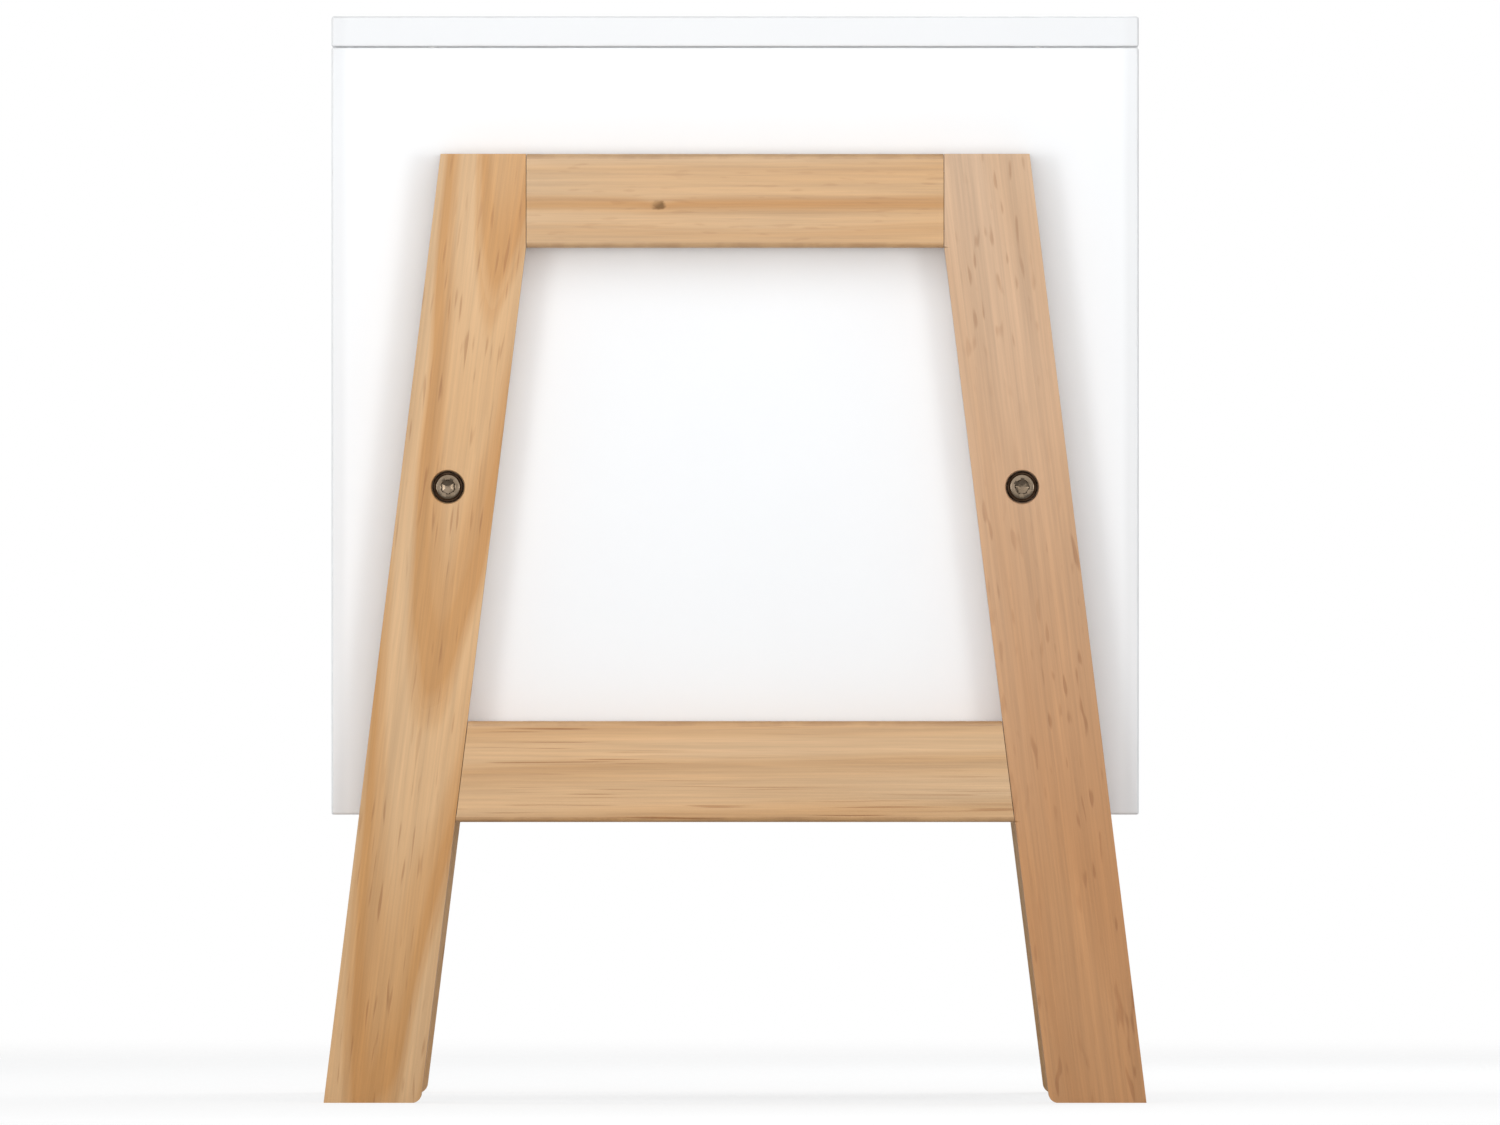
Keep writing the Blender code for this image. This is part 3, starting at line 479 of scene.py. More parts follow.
def pine_grain():
    """Growth rings round a pith, with fibres, flecks and a knot. The grain runs along Z."""
    tree, net, given, result = new_group("Pine grain", [
        ("Vector", "vector", None), ("Pith", "vector", (0.03, 0.0, 0.0)),
        ("Tilt", "vector", (0.0, 0.0, 0.0)), ("Ring spacing", "value", 0.005),
        ("Wander", "value", 0.008), ("Contrast", "value", 1.0), ("Flecks", "value", 0.5),
        ("Warmth", "value", 0.5), ("Early", "colour", (0.64, 0.42, 0.24)),
        ("Late", "colour", (0.52, 0.27, 0.10)), ("Knot colour", "colour", (0.17, 0.08, 0.03)),
        ("Knot", "vector", (0.0, 0.0, 0.0)), ("Knot size", "value", 0.0),
        ("Fleck size", "vector", (560.0, 560.0, 46.0)), ("Deepening", "value", 0.0),
        ("Seed", "value", 0.0),
    ], [("Color", "colour"), ("Roughness", "value"), ("Height", "value")])
    place, seed, size = given["Vector"], given["Seed"], given["Knot size"]
    along = net.split(place)[2]

    centre = net.vector_math("ADD", given["Pith"],
                             net.vector_math("SCALE", given["Tilt"], along))
    from_pith = net.vector_math("MULTIPLY", net.vector_math("SUBTRACT", place, centre), ACROSS)
    radius = net.vector_math("LENGTH", from_pith)
    drift = net.wobble(place, DRIFT_CELLS, 1.5, seed)
    ripple = net.wobble(place, RIPPLE_CELLS, 1.0, seed)
    drift = net.math("ADD", drift, net.math("MULTIPLY", ripple, 0.16))
    radius = net.math("ADD", radius, net.math("MULTIPLY", drift, given["Wander"]))

    # the rings swell round a knot
    to_knot = net.vector_math("SUBTRACT", place, given["Knot"])
    knot_distance = net.vector_math("LENGTH", net.vector_math("MULTIPLY", to_knot, KNOT_SHAPE))
    knot_scale = net.math("MAXIMUM", size, TINY)
    share = net.math("DIVIDE", knot_distance, knot_scale)
    swell = net.math("MULTIPLY", net.bell(share, 0.10), size)
    radius = net.math("ADD", radius, swell)

    turns = net.math("DIVIDE", radius, given["Ring spacing"])
    ring = net.node("ShaderNodeTexWhiteNoise", noise_dimensions="1D")
    net.feed(ring.inputs["W"], net.math("ADD", net.math("FLOOR", turns), seed))
    strength = net.remap(ring.outputs["Value"], 0.0, 1.0, 0.55, 1.0)
    late = net.ramp(net.math("FRACT", turns), RING_PROFILE)
    late = net.math("MULTIPLY", late, net.math("MULTIPLY", strength, given["Contrast"]), True)
    colour = net.mix(late, given["Early"], given["Late"])

    # warmer patches, painted shade that darkens the wood towards the foot, and a stain in line with
    # the knot
    tone = net.remap(net.noise(place, TONE_CELLS, 2.0, net.math("ADD", seed, 7.0)),
                     0.36, 0.64, smooth=True)
    colour = net.tint(net.math("MULTIPLY", tone, given["Warmth"]), colour, WARM_TONE)
    # painted shade: the wood darkens towards the foot, where less light falls
    painted_foot_shade = net.math("MULTIPLY", net.remap(along, 0.235, -0.12), given["Deepening"])
    colour = net.tint(painted_foot_shade, colour, FOOT_SHADE_TONE)
    beside = net.math("DIVIDE", net.split(to_knot)[1], knot_scale)
    colour = net.tint(net.math("MULTIPLY", net.bell(beside, 0.5), 0.75), colour, STAIN_TONE)

    # fibres and streaks along the grain, and short resin flecks that come in patches
    fibre = net.noise(place, FIBRE_CELLS, 3.0, seed, 0.6)
    streak = net.noise(place, STREAK_CELLS, 2.0, net.math("ADD", seed, 3.0))
    colour = net.tint(1.0, colour, net.remap(fibre, 0.25, 0.75, 0.86, 1.09))
    colour = net.tint(1.0, colour, net.remap(streak, 0.3, 0.7, 0.90, 1.06))
    fleck = net.remap(net.noise(place, given["Fleck size"], 0.0, net.math("ADD", seed, 11.0)),
                      0.64, 0.78, smooth=True)
    patches = net.remap(net.noise(place, PATCH_CELLS, 1.0, net.math("ADD", seed, 19.0)),
                        0.38, 0.62, 0.2, 1.3, smooth=True)
    fleck = net.math("MULTIPLY", fleck, net.math("MULTIPLY", patches, given["Flecks"]), True)
    colour = net.tint(fleck, colour, FLECK_TONE)

    # the knot's core, ragged at its rim and darkest at its lower end
    waver = net.wobble(place, WAVER_CELLS, 2.0, seed)
    core = net.remap(net.math("ADD", share, net.math("MULTIPLY", waver, 1.3)), 1.5, 0.8,
                     smooth=True)
    lower_end = net.vector_math("DOT_PRODUCT", to_knot, KNOT_SLANT)
    depth = net.remap(net.math("DIVIDE", lower_end, knot_scale), -0.8, 0.3, 0.40, 1.0)
    colour = net.mix(net.math("MULTIPLY", core, depth), colour, given["Knot colour"])

    net.feed(result["Color"], colour)
    net.feed(result["Roughness"], net.math("ADD", net.remap(fibre, 0.3, 0.7, 0.40, 0.50),
                                           net.math("MULTIPLY", late, -0.05)))
    height = net.math("ADD", fibre, net.math("MULTIPLY", late, 0.5))
    net.feed(result["Height"], net.math("SUBTRACT", height, fleck))
    return tree


def arris_wear_and_shade():
    """Where the rounded edges are darkened in patches, partly dulled by handling and partly painted
    shade.
    """
    tree, net, given, result = new_group("Arris wear", [
        ("Vector", "vector", None), ("Arris", "value", 0.0), ("Amount", "value", 0.5),
        ("Seed", "value", 0.0),
    ], [("Mask", "value")])
    patches = net.noise(given["Vector"], (42, 42, 42), 4.0, given["Seed"], 0.65)
    patches = net.remap(patches, 0.38, 0.62, smooth=True)
    mask = net.math("MULTIPLY", given["Arris"], given["Amount"])
    net.feed(result["Mask"], net.math("MULTIPLY", mask, net.math("ADD", patches, 0.35), True))
    return tree


def lacquer_skin():
    """The faint clouds and orange peel of a sprayed or rolled coat."""
    tree, net, given, result = new_group("Lacquer skin", [
        ("Vector", "vector", None), ("Colour", "colour", (0.88, 0.88, 0.88)),
        ("Clouds", "value", 0.02), ("Smoothest", "value", 0.30), ("Roughest", "value", 0.42),
        ("Peel", "value", 900.0), ("Seed", "value", 0.0),
    ], [("Color", "colour"), ("Roughness", "value"), ("Height", "value")])
    place, seed = given["Vector"], given["Seed"]
    cloud = net.noise(place, (9, 9, 9), 3.0, seed)
    shade = net.math("SUBTRACT", 1.0, net.math("MULTIPLY", given["Clouds"], cloud))
    rub = net.remap(net.noise(place, (23, 23, 23), 4.0, net.math("ADD", seed, 5.0), 0.6),
                    0.3, 0.7, given["Smoothest"], given["Roughest"], smooth=True)
    peel = net.node("ShaderNodeTexNoise", noise_dimensions="3D")
    net.feed(peel.inputs["Vector"], place)
    net.feed(peel.inputs["Scale"], given["Peel"])
    net.feed(peel.inputs["Detail"], 1.0)
    net.feed(result["Color"], net.tint(1.0, given["Colour"], shade))
    net.feed(result["Roughness"], rub)
    net.feed(result["Height"], peel.outputs[0])
    return tree


def painted_edge_shade():
    """Painted shade that darkens a board's coat a little towards its front and rear edges."""
    tree, net, given, result = new_group("Board ends", [
        ("Vector", "vector", None), ("Reach", "value", 0.2), ("Width", "value", 0.009),
        ("Amount", "value", 0.1),
    ], [("Mask", "value")])
    away = net.math("ABSOLUTE", net.split(given["Vector"])[1])
    start = net.math("SUBTRACT", given["Reach"], given["Width"])
    waver = net.noise(given["Vector"], (6, 6, 6), 2.0)
    mask = net.remap(away, start, net.math("SUBTRACT", given["Reach"], 0.004), smooth=True)
    mask = net.math("MULTIPLY", mask, net.math("ADD", waver, 0.5), True)
    net.feed(result["Mask"], net.math("MULTIPLY", mask, given["Amount"]))
    return tree


TARNISH = (0.62, 0.56, 0.46)  # what the plating's colour is multiplied by where it has dulled


def plated_metal():
    """The patchy sheen, rub marks and fine pits of plated or cast metal."""
    tree, net, given, result = new_group("Plated metal", [
        ("Vector", "vector", None), ("Colour", "colour", (0.56, 0.55, 0.52)),
        ("Tarnish", "value", 0.4), ("Smoothest", "value", 0.22), ("Roughest", "value", 0.42),
        ("Seed", "value", 0.0),
    ], [("Color", "colour"), ("Roughness", "value"), ("Height", "value")])
    place, seed = given["Vector"], given["Seed"]
    patch = net.remap(net.noise(place, (260, 260, 260), 3.0, seed), 0.35, 0.65, smooth=True)
    dull = net.tint(net.math("MULTIPLY", patch, given["Tarnish"]), given["Colour"], TARNISH)
    pits = net.noise(place, (2600, 2600, 2600), 2.0, seed)
    net.feed(result["Color"], dull)
    uneven = net.math("ADD", patch, net.math("MULTIPLY", pits, 0.5))
    net.feed(result["Roughness"],
             net.remap(uneven, 0.0, 1.5, given["Smoothest"], given["Roughest"]))
    net.feed(result["Height"], pits)
    return tree


def group(name):
    """One of the shared node groups, built when it is first asked for."""
    makers = {"Pine grain": pine_grain, "Arris wear": arris_wear_and_shade,
              "Lacquer skin": lacquer_skin, "Board ends": painted_edge_shade,
              "Plated metal": plated_metal}
    if name not in GROUPS:
        GROUPS[name] = makers[name]()
    return GROUPS[name]


def use_group(net, name, **values):
    """Place a shared group in a material, its inputs named with _ for a space."""
    node = net.node("ShaderNodeGroup", node_tree=group(name))
    for label, value in values.items():
        net.feed(node.inputs[label.replace("_", " ")], value)
    return node.outputs


def new_material(name):
    """A material with a Principled shader, as (material, net, shader)."""
    material = bpy.data.materials.new(name)
    material.use_nodes = True
    tree = material.node_tree
    tree.nodes.clear()
    net = Net(tree)
    shader = net.node("ShaderNodeBsdfPrincipled")
    shader.location = (1700, 0)
    output = net.node("ShaderNodeOutputMaterial")
    output.location = (2000, 0)
    tree.links.new(shader.outputs[0], output.inputs["Surface"])
    return material, net, shader


def object_place(net, rotation=(0, 0, 0), location=(0, 0, 0)):
    """Object coordinates, turned and then moved."""
    mapping = net.node("ShaderNodeMapping")
    net.feed(mapping.inputs["Vector"], net.node("ShaderNodeTexCoord").outputs["Object"])
    mapping.inputs["Rotation"].default_value = rotation
    mapping.inputs["Location"].default_value = location
    return mapping.outputs[0]


def dress(net, shader, skin, strength, distance, colour=None):
    """Give the shader a skin's roughness and bumps, with its colour unless another is given."""
    net.feed(shader.inputs["Base Color"], skin["Color"] if colour is None else colour)
    net.feed(shader.inputs["Roughness"], skin["Roughness"])
    bump = net.node("ShaderNodeBump")
    bump.inputs["Strength"].default_value = strength
    bump.inputs["Distance"].default_value = distance
    net.feed(bump.inputs["Height"], skin["Height"])
    net.feed(shader.inputs["Normal"], bump.outputs[0])


def worn_and_shaded(net, place, colour, amount, seed, tone):
    """A colour that is darkened in places along the rounded edges, partly dulled by handling and
    partly painted shade.
    """
    arris = net.node("ShaderNodeAttribute", attribute_name="arris").outputs["Fac"]
    wear_and_shade = use_group(net, "Arris wear", Vector=place, Arris=arris, Amount=amount, Seed=seed)
    return net.tint(wear_and_shade["Mask"], colour, tone)


# these multiply a rounded arris's colour, partly dulled by handling and partly painted shade
WORN_AND_SHADED_PINE = (0.66, 0.60, 0.58)     # what multiplies the colour of a worn arris
WORN_AND_SHADED_WHITE = (0.88, 0.87, 0.85)


def pine(name, turn, middle, spec):
    """Lacquered pine for one member, whose length a turn about X takes to Z."""
    timber = bpy.context.scene.bedside_timber
    material, net, shader = new_material(name)
    shifted = -(Matrix.Rotation(turn, 3, "X") @ Vector(middle))
    place = object_place(net, (turn, 0, 0), shifted)
    tint = spec.get("tint", (1, 1, 1))
    early = [a * b for a, b in zip(timber.early, tint)]
    late = [a * b for a, b in zip(timber.late, tint)]
    grain = use_group(
        net, "Pine grain", Vector=place, Pith=spec["pith"], Tilt=spec["tilt"],
        Ring_spacing=timber.ring_spacing * spec.get("spacing", 1.0), Wander=spec["wander"],
        Contrast=spec["contrast"], Flecks=spec["flecks"], Warmth=spec["warmth"], Early=early,
        Late=late, Knot_colour=tuple(timber.knot), Knot=spec.get("knot", (0, 0, 0)),
        Knot_size=spec.get("knot_size", 0.0), Deepening=spec.get("foot_shade", 0.0),
        Fleck_size=spec.get("fleck_size"), Seed=spec["seed"],
    )
    # the arrises are darkened in patches, partly dulled by handling and partly painted shade
    colour = worn_and_shaded(net, place, grain["Color"], 0.42, spec["seed"], WORN_AND_SHADED_PINE)
    dress(net, shader, grain, strength=0.30, distance=0.0003, colour=colour)
    shader.inputs["IOR"].default_value = 1.45
    shader.inputs["Coat Weight"].default_value = 0.12
    shader.inputs["Coat Roughness"].default_value = 0.28
    return material


def white_lacquer(name, colour, seed, smoothest=0.30, roughest=0.42, peel=700.0, ends=0.0):
    """White lacquer on board, hardboard or steel, darkened a little on its rounded edges, partly
    dulled by handling and partly painted shade.
    """
    material, net, shader = new_material(name)
    place = object_place(net)
    skin = use_group(net, "Lacquer skin", Vector=place, Colour=tuple(colour), Clouds=0.03,
                     Smoothest=smoothest, Roughest=roughest, Peel=peel, Seed=seed)
    coat = worn_and_shaded(net, place, skin["Color"], 0.30, seed, WORN_AND_SHADED_WHITE)
    # painted shade: the coat darkens towards the board's front and rear edges
    if ends:
        edge_shade = use_group(net, "Board ends", Vector=place, Amount=ends)
        coat = net.mix(edge_shade["Mask"], coat, (0.0, 0.0, 0.0))
    dress(net, shader, skin, strength=0.12, distance=0.0001, colour=coat)
    shader.inputs["IOR"].default_value = 1.48
    return material


def metal(name, colour, seed, smoothest, roughest, tarnish=0.4):
    """Plated or cast metal."""
    material, net, shader = new_material(name)
    skin = use_group(net, "Plated metal", Vector=object_place(net), Colour=tuple(colour),
                     Tarnish=tarnish, Smoothest=smoothest, Roughest=roughest, Seed=seed)
    dress(net, shader, skin, strength=0.15, distance=0.00005)
    shader.inputs["Metallic"].default_value = 1.0
    return material


def nylon(name, colour):
    """Moulded nylon, which lets a little light into it."""
    material, net, shader = new_material(name)
    skin = use_group(net, "Lacquer skin", Vector=object_place(net), Colour=tuple(colour),
                     Clouds=0.06, Smoothest=0.36, Roughest=0.50, Peel=1800.0, Seed=9.0)
    dress(net, shader, skin, strength=0.15, distance=0.0001)
    shader.inputs["Subsurface Weight"].default_value = 0.1
    shader.inputs["Subsurface Scale"].default_value = 0.002
    return material


# ---- Leg frames

# How each member was sawn: pith is where its rings' centre lies from the member's middle,
# through the thickness and across the width, and tilt is how far it moves per metre of length
LEG_CUTS = {
    "front_right": dict(pith=(-0.030, 0.006, 0), tilt=(0.050, 0.030, 0), wander=0.020,
                        contrast=1.35, flecks=0.4, warmth=0.70, seed=2.0, spacing=1.8,
                        tint=(0.98, 0.96, 0.88)),
    # this leg carries painted shade that darkens it towards its foot
    "back_right": dict(pith=(-0.120, 0.020, 0), tilt=(0.02, -0.02, 0), wander=0.010,
                       contrast=0.28, flecks=0.38, warmth=0.20, seed=5.0, spacing=1.2,
                       fleck_size=(400, 400, 75), foot_shade=1.0, tint=(0.91, 0.94, 1.06)),
    "front_left": dict(pith=(0.050, -0.010, 0), tilt=(-0.03, 0.03, 0), wander=0.016,
                       contrast=0.75, flecks=0.4, warmth=0.6, seed=8.0, spacing=1.2),
    "back_left": dict(pith=(0.035, 0.012, 0), tilt=(0.04, -0.03, 0), wander=0.018,
                      contrast=0.85, flecks=0.35, warmth=0.5, seed=11.0, spacing=1.3,
                      tint=(0.98, 0.97, 0.96)),
}
RAIL_CUTS = {
    "top_right": dict(pith=(-0.020, 0.060, 0), tilt=(0.02, 0.010, 0), wander=0.022,
                      contrast=0.6, flecks=0.14, warmth=0.75, seed=14.0, spacing=2.3,
                      fleck_size=(600, 600, 90), knot=(0.0, 0.0, 0.0), knot_size=0.0018,
                      tint=(0.92, 0.92, 0.89)),
    "lower_right": dict(pith=(-0.060, 0.052, 0), tilt=(0.01, -0.020, 0), wander=0.010,
                        contrast=0.7, flecks=0.6, warmth=0.45, seed=17.0, spacing=2.6,
                        fleck_size=(1250, 1250, 20), tint=(0.98, 0.98, 0.95)),
    "top_left": dict(pith=(0.030, 0.040, 0), tilt=(0.02, 0.01, 0), wander=0.014,
                     contrast=0.6, flecks=0.3, warmth=0.5, seed=20.0, spacing=1.8),
    "lower_left": dict(pith=(0.045, -0.030, 0), tilt=(-0.02, 0.01, 0), wander=0.012,
                       contrast=0.6, flecks=0.5, warmth=0.45, seed=23.0, spacing=1.6),
}
KNOT_PLACE = (-0.0381, 0.4445)    # Y and Z of the knot in the right-hand top rail


def outer_reach(height):
    """Distance along Y from the middle to a leg's outer edge."""
    return FOOT_REACH - height * SLOPE


def inner_reach(height):
    """Distance along Y from the middle to a leg's inner edge."""
    return outer_reach(height) - LEG_LEVEL_WIDTH


def edge_normal(end):
    """The direction that a leg's long edges face, square to its lean."""
    return Vector((0, math.cos(LEAN), end * math.sin(LEAN)))


def is_free_arris(edge):
    """Whether an edge of a leg runs along its outline and clear of its joints."""
    a, b = (vert.co for vert in edge.verts)
    middle = (a + b) / 2
    if abs(a.x - b.x) > TINY:
        return False
    if abs(a.z - b.z) < TINY:
        return middle.z > FRAME_HEIGHT - TINY
    in_joint = RAIL_LOW.z < middle.z < RAIL_HIGH.z or middle.z > SHOULDER
    on_outer_edge = abs(abs(middle.y) - outer_reach(middle.z)) < TINY
    on_inner_edge = abs(abs(middle.y) - inner_reach(middle.z)) < TINY
    return on_outer_edge or (on_inner_edge and not in_joint)


def leg_body(end):
    """A splayed leg with rounded arrises, about the frame's own middle plane."""
    timber = bpy.context.scene.bedside_timber
    bm = bmesh.new()
    for vert in block(bm, (-0.5, -0.5, 0), (0.5, 0.5, 1)):
        height = FRAME_HEIGHT if vert.co.z > 0.5 else 0.0
        reach = outer_reach(height) if vert.co.y * end > 0 else inner_reach(height)
        vert.co = (math.copysign(LEG_THICKNESS / 2, vert.co.x), end * reach, height)
    slice_body(bm, (0, 0, SHOULDER), (0, 0, 1))
    for vert in bm.verts:
        if vert.co.z > SHOULDER + TINY and abs(vert.co.y) < inner_reach(FRAME_HEIGHT) + TINY:
            vert.co.y = end * inner_reach(SHOULDER)
    for height in (RAIL_LOW.z, RAIL_LOW.z + RUN_OUT, RAIL_HIGH.z - RUN_OUT, RAIL_HIGH.z,
                   SHOULDER + RUN_OUT):
        slice_body(bm, (0, 0, height), (0, 0, 1))
    beside_arris = inner_reach(0) + timber.arris + RUN_OUT
    slice_body(bm, (0, end * beside_arris, 0), (0, end * math.cos(LEAN), math.sin(LEAN)))
    corner = [
        edge for edge in bm.edges
        if all(v.co.z < TINY and abs(abs(v.co.y) - inner_reach(0)) < TINY for v in edge.verts)
    ]
    round_edges(bm, corner, FOOT_ROUND, 2 * timber.arris_steps)
    round_edges(bm, [e for e in bm.edges if is_free_arris(e)], timber.arris, timber.arris_steps)
    return bm


def node_middle(node):
    """The middle of a CAD node's box."""
    low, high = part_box(node)
    return (low + high) / 2


def leg_cutter(tag, side, end):
    """What is bored and chopped out of a leg: the screw's recess and hole, and two mortises."""
    timber = bpy.context.scene.bedside_timber
    bm = bmesh.new()
    radius, rim = COUNTERBORE_RADIUS, timber.bore_rim
    recess = revolve(bm, [
        (0.0, OVERCUT), (radius + rim + OVERCUT, OVERCUT), (radius, -rim),
        (radius, -COUNTERBORE_DEPTH), (SCREW_HOLE_RADIUS, -COUNTERBORE_DEPTH),
        (SCREW_HOLE_RADIUS, -LEG_THICKNESS - OVERCUT), (0.0, -LEG_THICKNESS - OVERCUT),
    ], bpy.context.scene.bedside_fixings.turning_steps)
    middle = node_middle(f"cap_screw_{tag}")
    mouth = (side * (FRAME_MIDDLE + LEG_THICKNESS / 2), middle.y, middle.z)
    bmesh.ops.transform(bm, matrix=Matrix.Translation(mouth) @ turn_to_side(side), verts=recess)
    half = TENON_THICKNESS / 2 + GAP
    for low, high, level in ((SHOULDER, FRAME_HEIGHT, SHOULDER),
                             (RAIL_LOW.z, RAIL_HIGH.z, (RAIL_LOW.z + RAIL_HIGH.z) / 2)):
        reach = inner_reach(level)
        ys = sorted((end * (reach - TENON_LENGTH), end * (reach + TENON_LENGTH + GAP)))
        block(bm, (side * FRAME_MIDDLE - half, ys[0], low + TENON_SHOULDER - GAP),
              (side * FRAME_MIDDLE + half, ys[1], high - TENON_SHOULDER + GAP))
    return bm


def make_leg(tag, side, end):
    """Build one leg, with its screw's recess and its mortises cut."""
    body = leg_body(end)
    bmesh.ops.translate(body, verts=body.verts[:], vec=(side * FRAME_MIDDLE, 0, 0))
    mesh = carve(mesh_from(f"pine_leg_{tag}", body), leg_cutter(tag, side, end))
    mark_arrises(mesh, [*AXES, edge_normal(end)])
    height = FRAME_HEIGHT / 2
    middle = (side * FRAME_MIDDLE, end * (outer_reach(height) - LEG_LEVEL_WIDTH / 2), height)
    material = pine(f"Pine {tag.replace('_', ' ')} leg", -end * LEAN, middle, LEG_CUTS[tag])
    place_piece(f"pine_leg_{tag}", mesh, material, "cabinet", "pine", f"leg_{tag}")


def rail_mesh(name, low, high, reach_low, reach_high):
    """A rail whose ends follow the legs' inner edges, with a tenon on each end."""
    bm = bmesh.new()
    for vert in block(bm, (-0.5, -0.5, 0), (0.5, 0.5, 1)):
        height, reach = (high, reach_high) if vert.co.z > 0.5 else (low, reach_low)
        vert.co = (math.copysign(LEG_THICKNESS / 2, vert.co.x),
                   math.copysign(reach, vert.co.y), height)
    timber = bpy.context.scene.bedside_timber
    long_edges = [e for e in bm.edges if abs(e.verts[0].co.y - e.verts[1].co.y) > LEG_THICKNESS]
    round_edges(bm, long_edges, timber.arris, timber.arris_steps)
    half = TENON_THICKNESS / 2
    for place in (half, -half):
        slice_body(bm, (place, 0, 0), (1, 0, 0))
    for height in (low + TENON_SHOULDER, high - TENON_SHOULDER):
        slice_body(bm, (0, 0, height), (0, 0, 1))
    tip = (reach_low + reach_high) / 2 + TENON_LENGTH
    for end in (-1, 1):
        faces = [
            face for face in bm.faces
            if face.normal.y * end > 0.9 and abs(face.calc_center_median().x) < half
            and low + TENON_SHOULDER < face.calc_center_median().z < high - TENON_SHOULDER
        ]
        grown = bmesh.ops.extrude_face_region(bm, geom=faces)["geom"]
        bmesh.ops.delete(bm, geom=faces, context="FACES")
        for item in grown:
            if isinstance(item, bmesh.types.BMVert):
                item.co.y = end * tip
    bmesh.ops.recalc_face_normals(bm, faces=bm.faces[:])
    return mesh_from(name, bm)


def make_rail(row, side_name, side):
    """Build one rail between two legs."""
    node = f"{row}_rail_{side_name}"
    low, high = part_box(node)
    if row == "top":
        reaches = [inner_reach(SHOULDER) - GAP] * 2
    else:
        reaches = [inner_reach(low.z) - GAP, inner_reach(high.z) - GAP]
    mesh = rail_mesh(f"pine_{node}", low.z, high.z, *reaches)
    mesh.transform(Matrix.Translation((side * FRAME_MIDDLE, 0, 0)))
    mark_arrises(mesh, [*AXES, edge_normal(1), edge_normal(-1)])
    middle = Vector((side * FRAME_MIDDLE, 0, (low.z + high.z) / 2))
    spec = dict(RAIL_CUTS[f"{row}_{side_name}"])
    if "knot" in spec:
        spec["knot"] = (0, middle.z - KNOT_PLACE[1], KNOT_PLACE[0])
    material = pine(f"Pine {row} rail {side_name}", math.pi / 2, middle, spec)
    place_piece(f"pine_{node}", mesh, material, "cabinet", "pine", node)


class BEDSIDE_OT_leg_frames(bpy.types.Operator):
    """Build the two pine leg frames: four splayed legs, two top rails and two lower rails"""
    bl_idname = "bedside.leg_frames"
    bl_label = "Leg frames"

    def execute(self, context):
        for tag, end, side in TAGS:
            make_leg(tag, side, end)
        for side_name, side in SIDES:
            make_rail("top", side_name, side)
            make_rail("lower", side_name, side)
        return {"FINISHED"}


# ---- Frame fixings

FIRST_TURN = 17               # degrees that the first screw's socket is turned
EACH_TURN = 23                # and each further one from the last


def screw_mesh(length):
    """A knurled socket cap screw along Z, with the underside of its head at height 0."""
    steps = bpy.context.scene.bedside_fixings.turning_steps
    bm = bmesh.new()
    top, radius, socket = HEAD_HEIGHT, HEAD_RADIUS, SOCKET_APOTHEM
    revolve(bm, [
        (0.0, top - SOCKET_DEPTH - DRILL_POINT),
        (socket, top - SOCKET_DEPTH), (socket, top - 0.0005),
        (socket + 0.0007, top), (radius - 0.0011, top), (radius - 0.0005, top - 0.00018),
        (radius - 0.00014, top - 0.0005), (radius, top - 0.0009), (radius, 0.0006),
        (radius - 0.0003, 0.0), (SHANK_RADIUS, 0.0), (SHANK_RADIUS, SHANK_CHAMFER - length),
        (SHANK_RADIUS - SHANK_CHAMFER, -length), (0.0, -length),
    ], steps)
    for vert in bm.verts:
        reach = math.hypot(vert.co.x, vert.co.y)
        angle = math.atan2(vert.co.y, vert.co.x)
        in_socket = abs(reach - socket) < TINY and vert.co.z > 0
        on_knurl = reach > radius - TINY and KNURL_START < vert.co.z < top - KNURL_END
        grown = 1.0
        if in_socket:
            grown = 1 / math.cos((angle % (math.pi / 3)) - math.pi / 6)
        elif on_knurl and round(angle / (2 * math.pi) * steps) % 2:
            grown = 1 - KNURL_DEPTH / radius
        vert.co.x *= grown
        vert.co.y *= grown
    return mesh_from("cap_screw", bm)


def washer_mesh(outer, inner, height):
    """A flat washer along Z with softened edges."""
    bm = bmesh.new()
    soft = height / 5
    revolve(bm, [
        (inner, soft), (inner, height - soft / 2), (inner + soft, height),
        (outer - soft, height), (outer - soft / 3, height - soft / 3), (outer, height - soft),
        (outer, soft), (outer - soft / 3, soft / 3), (outer - soft, 0.0), (inner + soft, 0.0),
    ], bpy.context.scene.bedside_fixings.turning_steps, closed=True)
    return mesh_from("washer", bm)


def make_screw(tag, side, count):
    """Build one cap screw, each turned by its own angle."""
    settings = bpy.context.scene.bedside_fixings
    low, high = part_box(f"cap_screw_{tag}")
    middle = (low + high) / 2
    head_top = high.x if side > 0 else low.x
    mesh = screw_mesh(high.x - low.x - HEAD_HEIGHT)
    seat = (head_top - side * HEAD_HEIGHT, middle.y, middle.z)
    spin = Matrix.Rotation(math.radians(FIRST_TURN + EACH_TURN * count), 4, "Z")
    mesh.transform(Matrix.Translation(seat) @ turn_to_side(side) @ spin)
    plating = metal(f"Zinc screw {tag}", settings.screws, 3.0 * count, 0.14, 0.30)
    place_piece(f"socket_screw_{tag}", mesh, plating, "cabinet", "zinc_plated",
                f"cap_screw_{tag}")


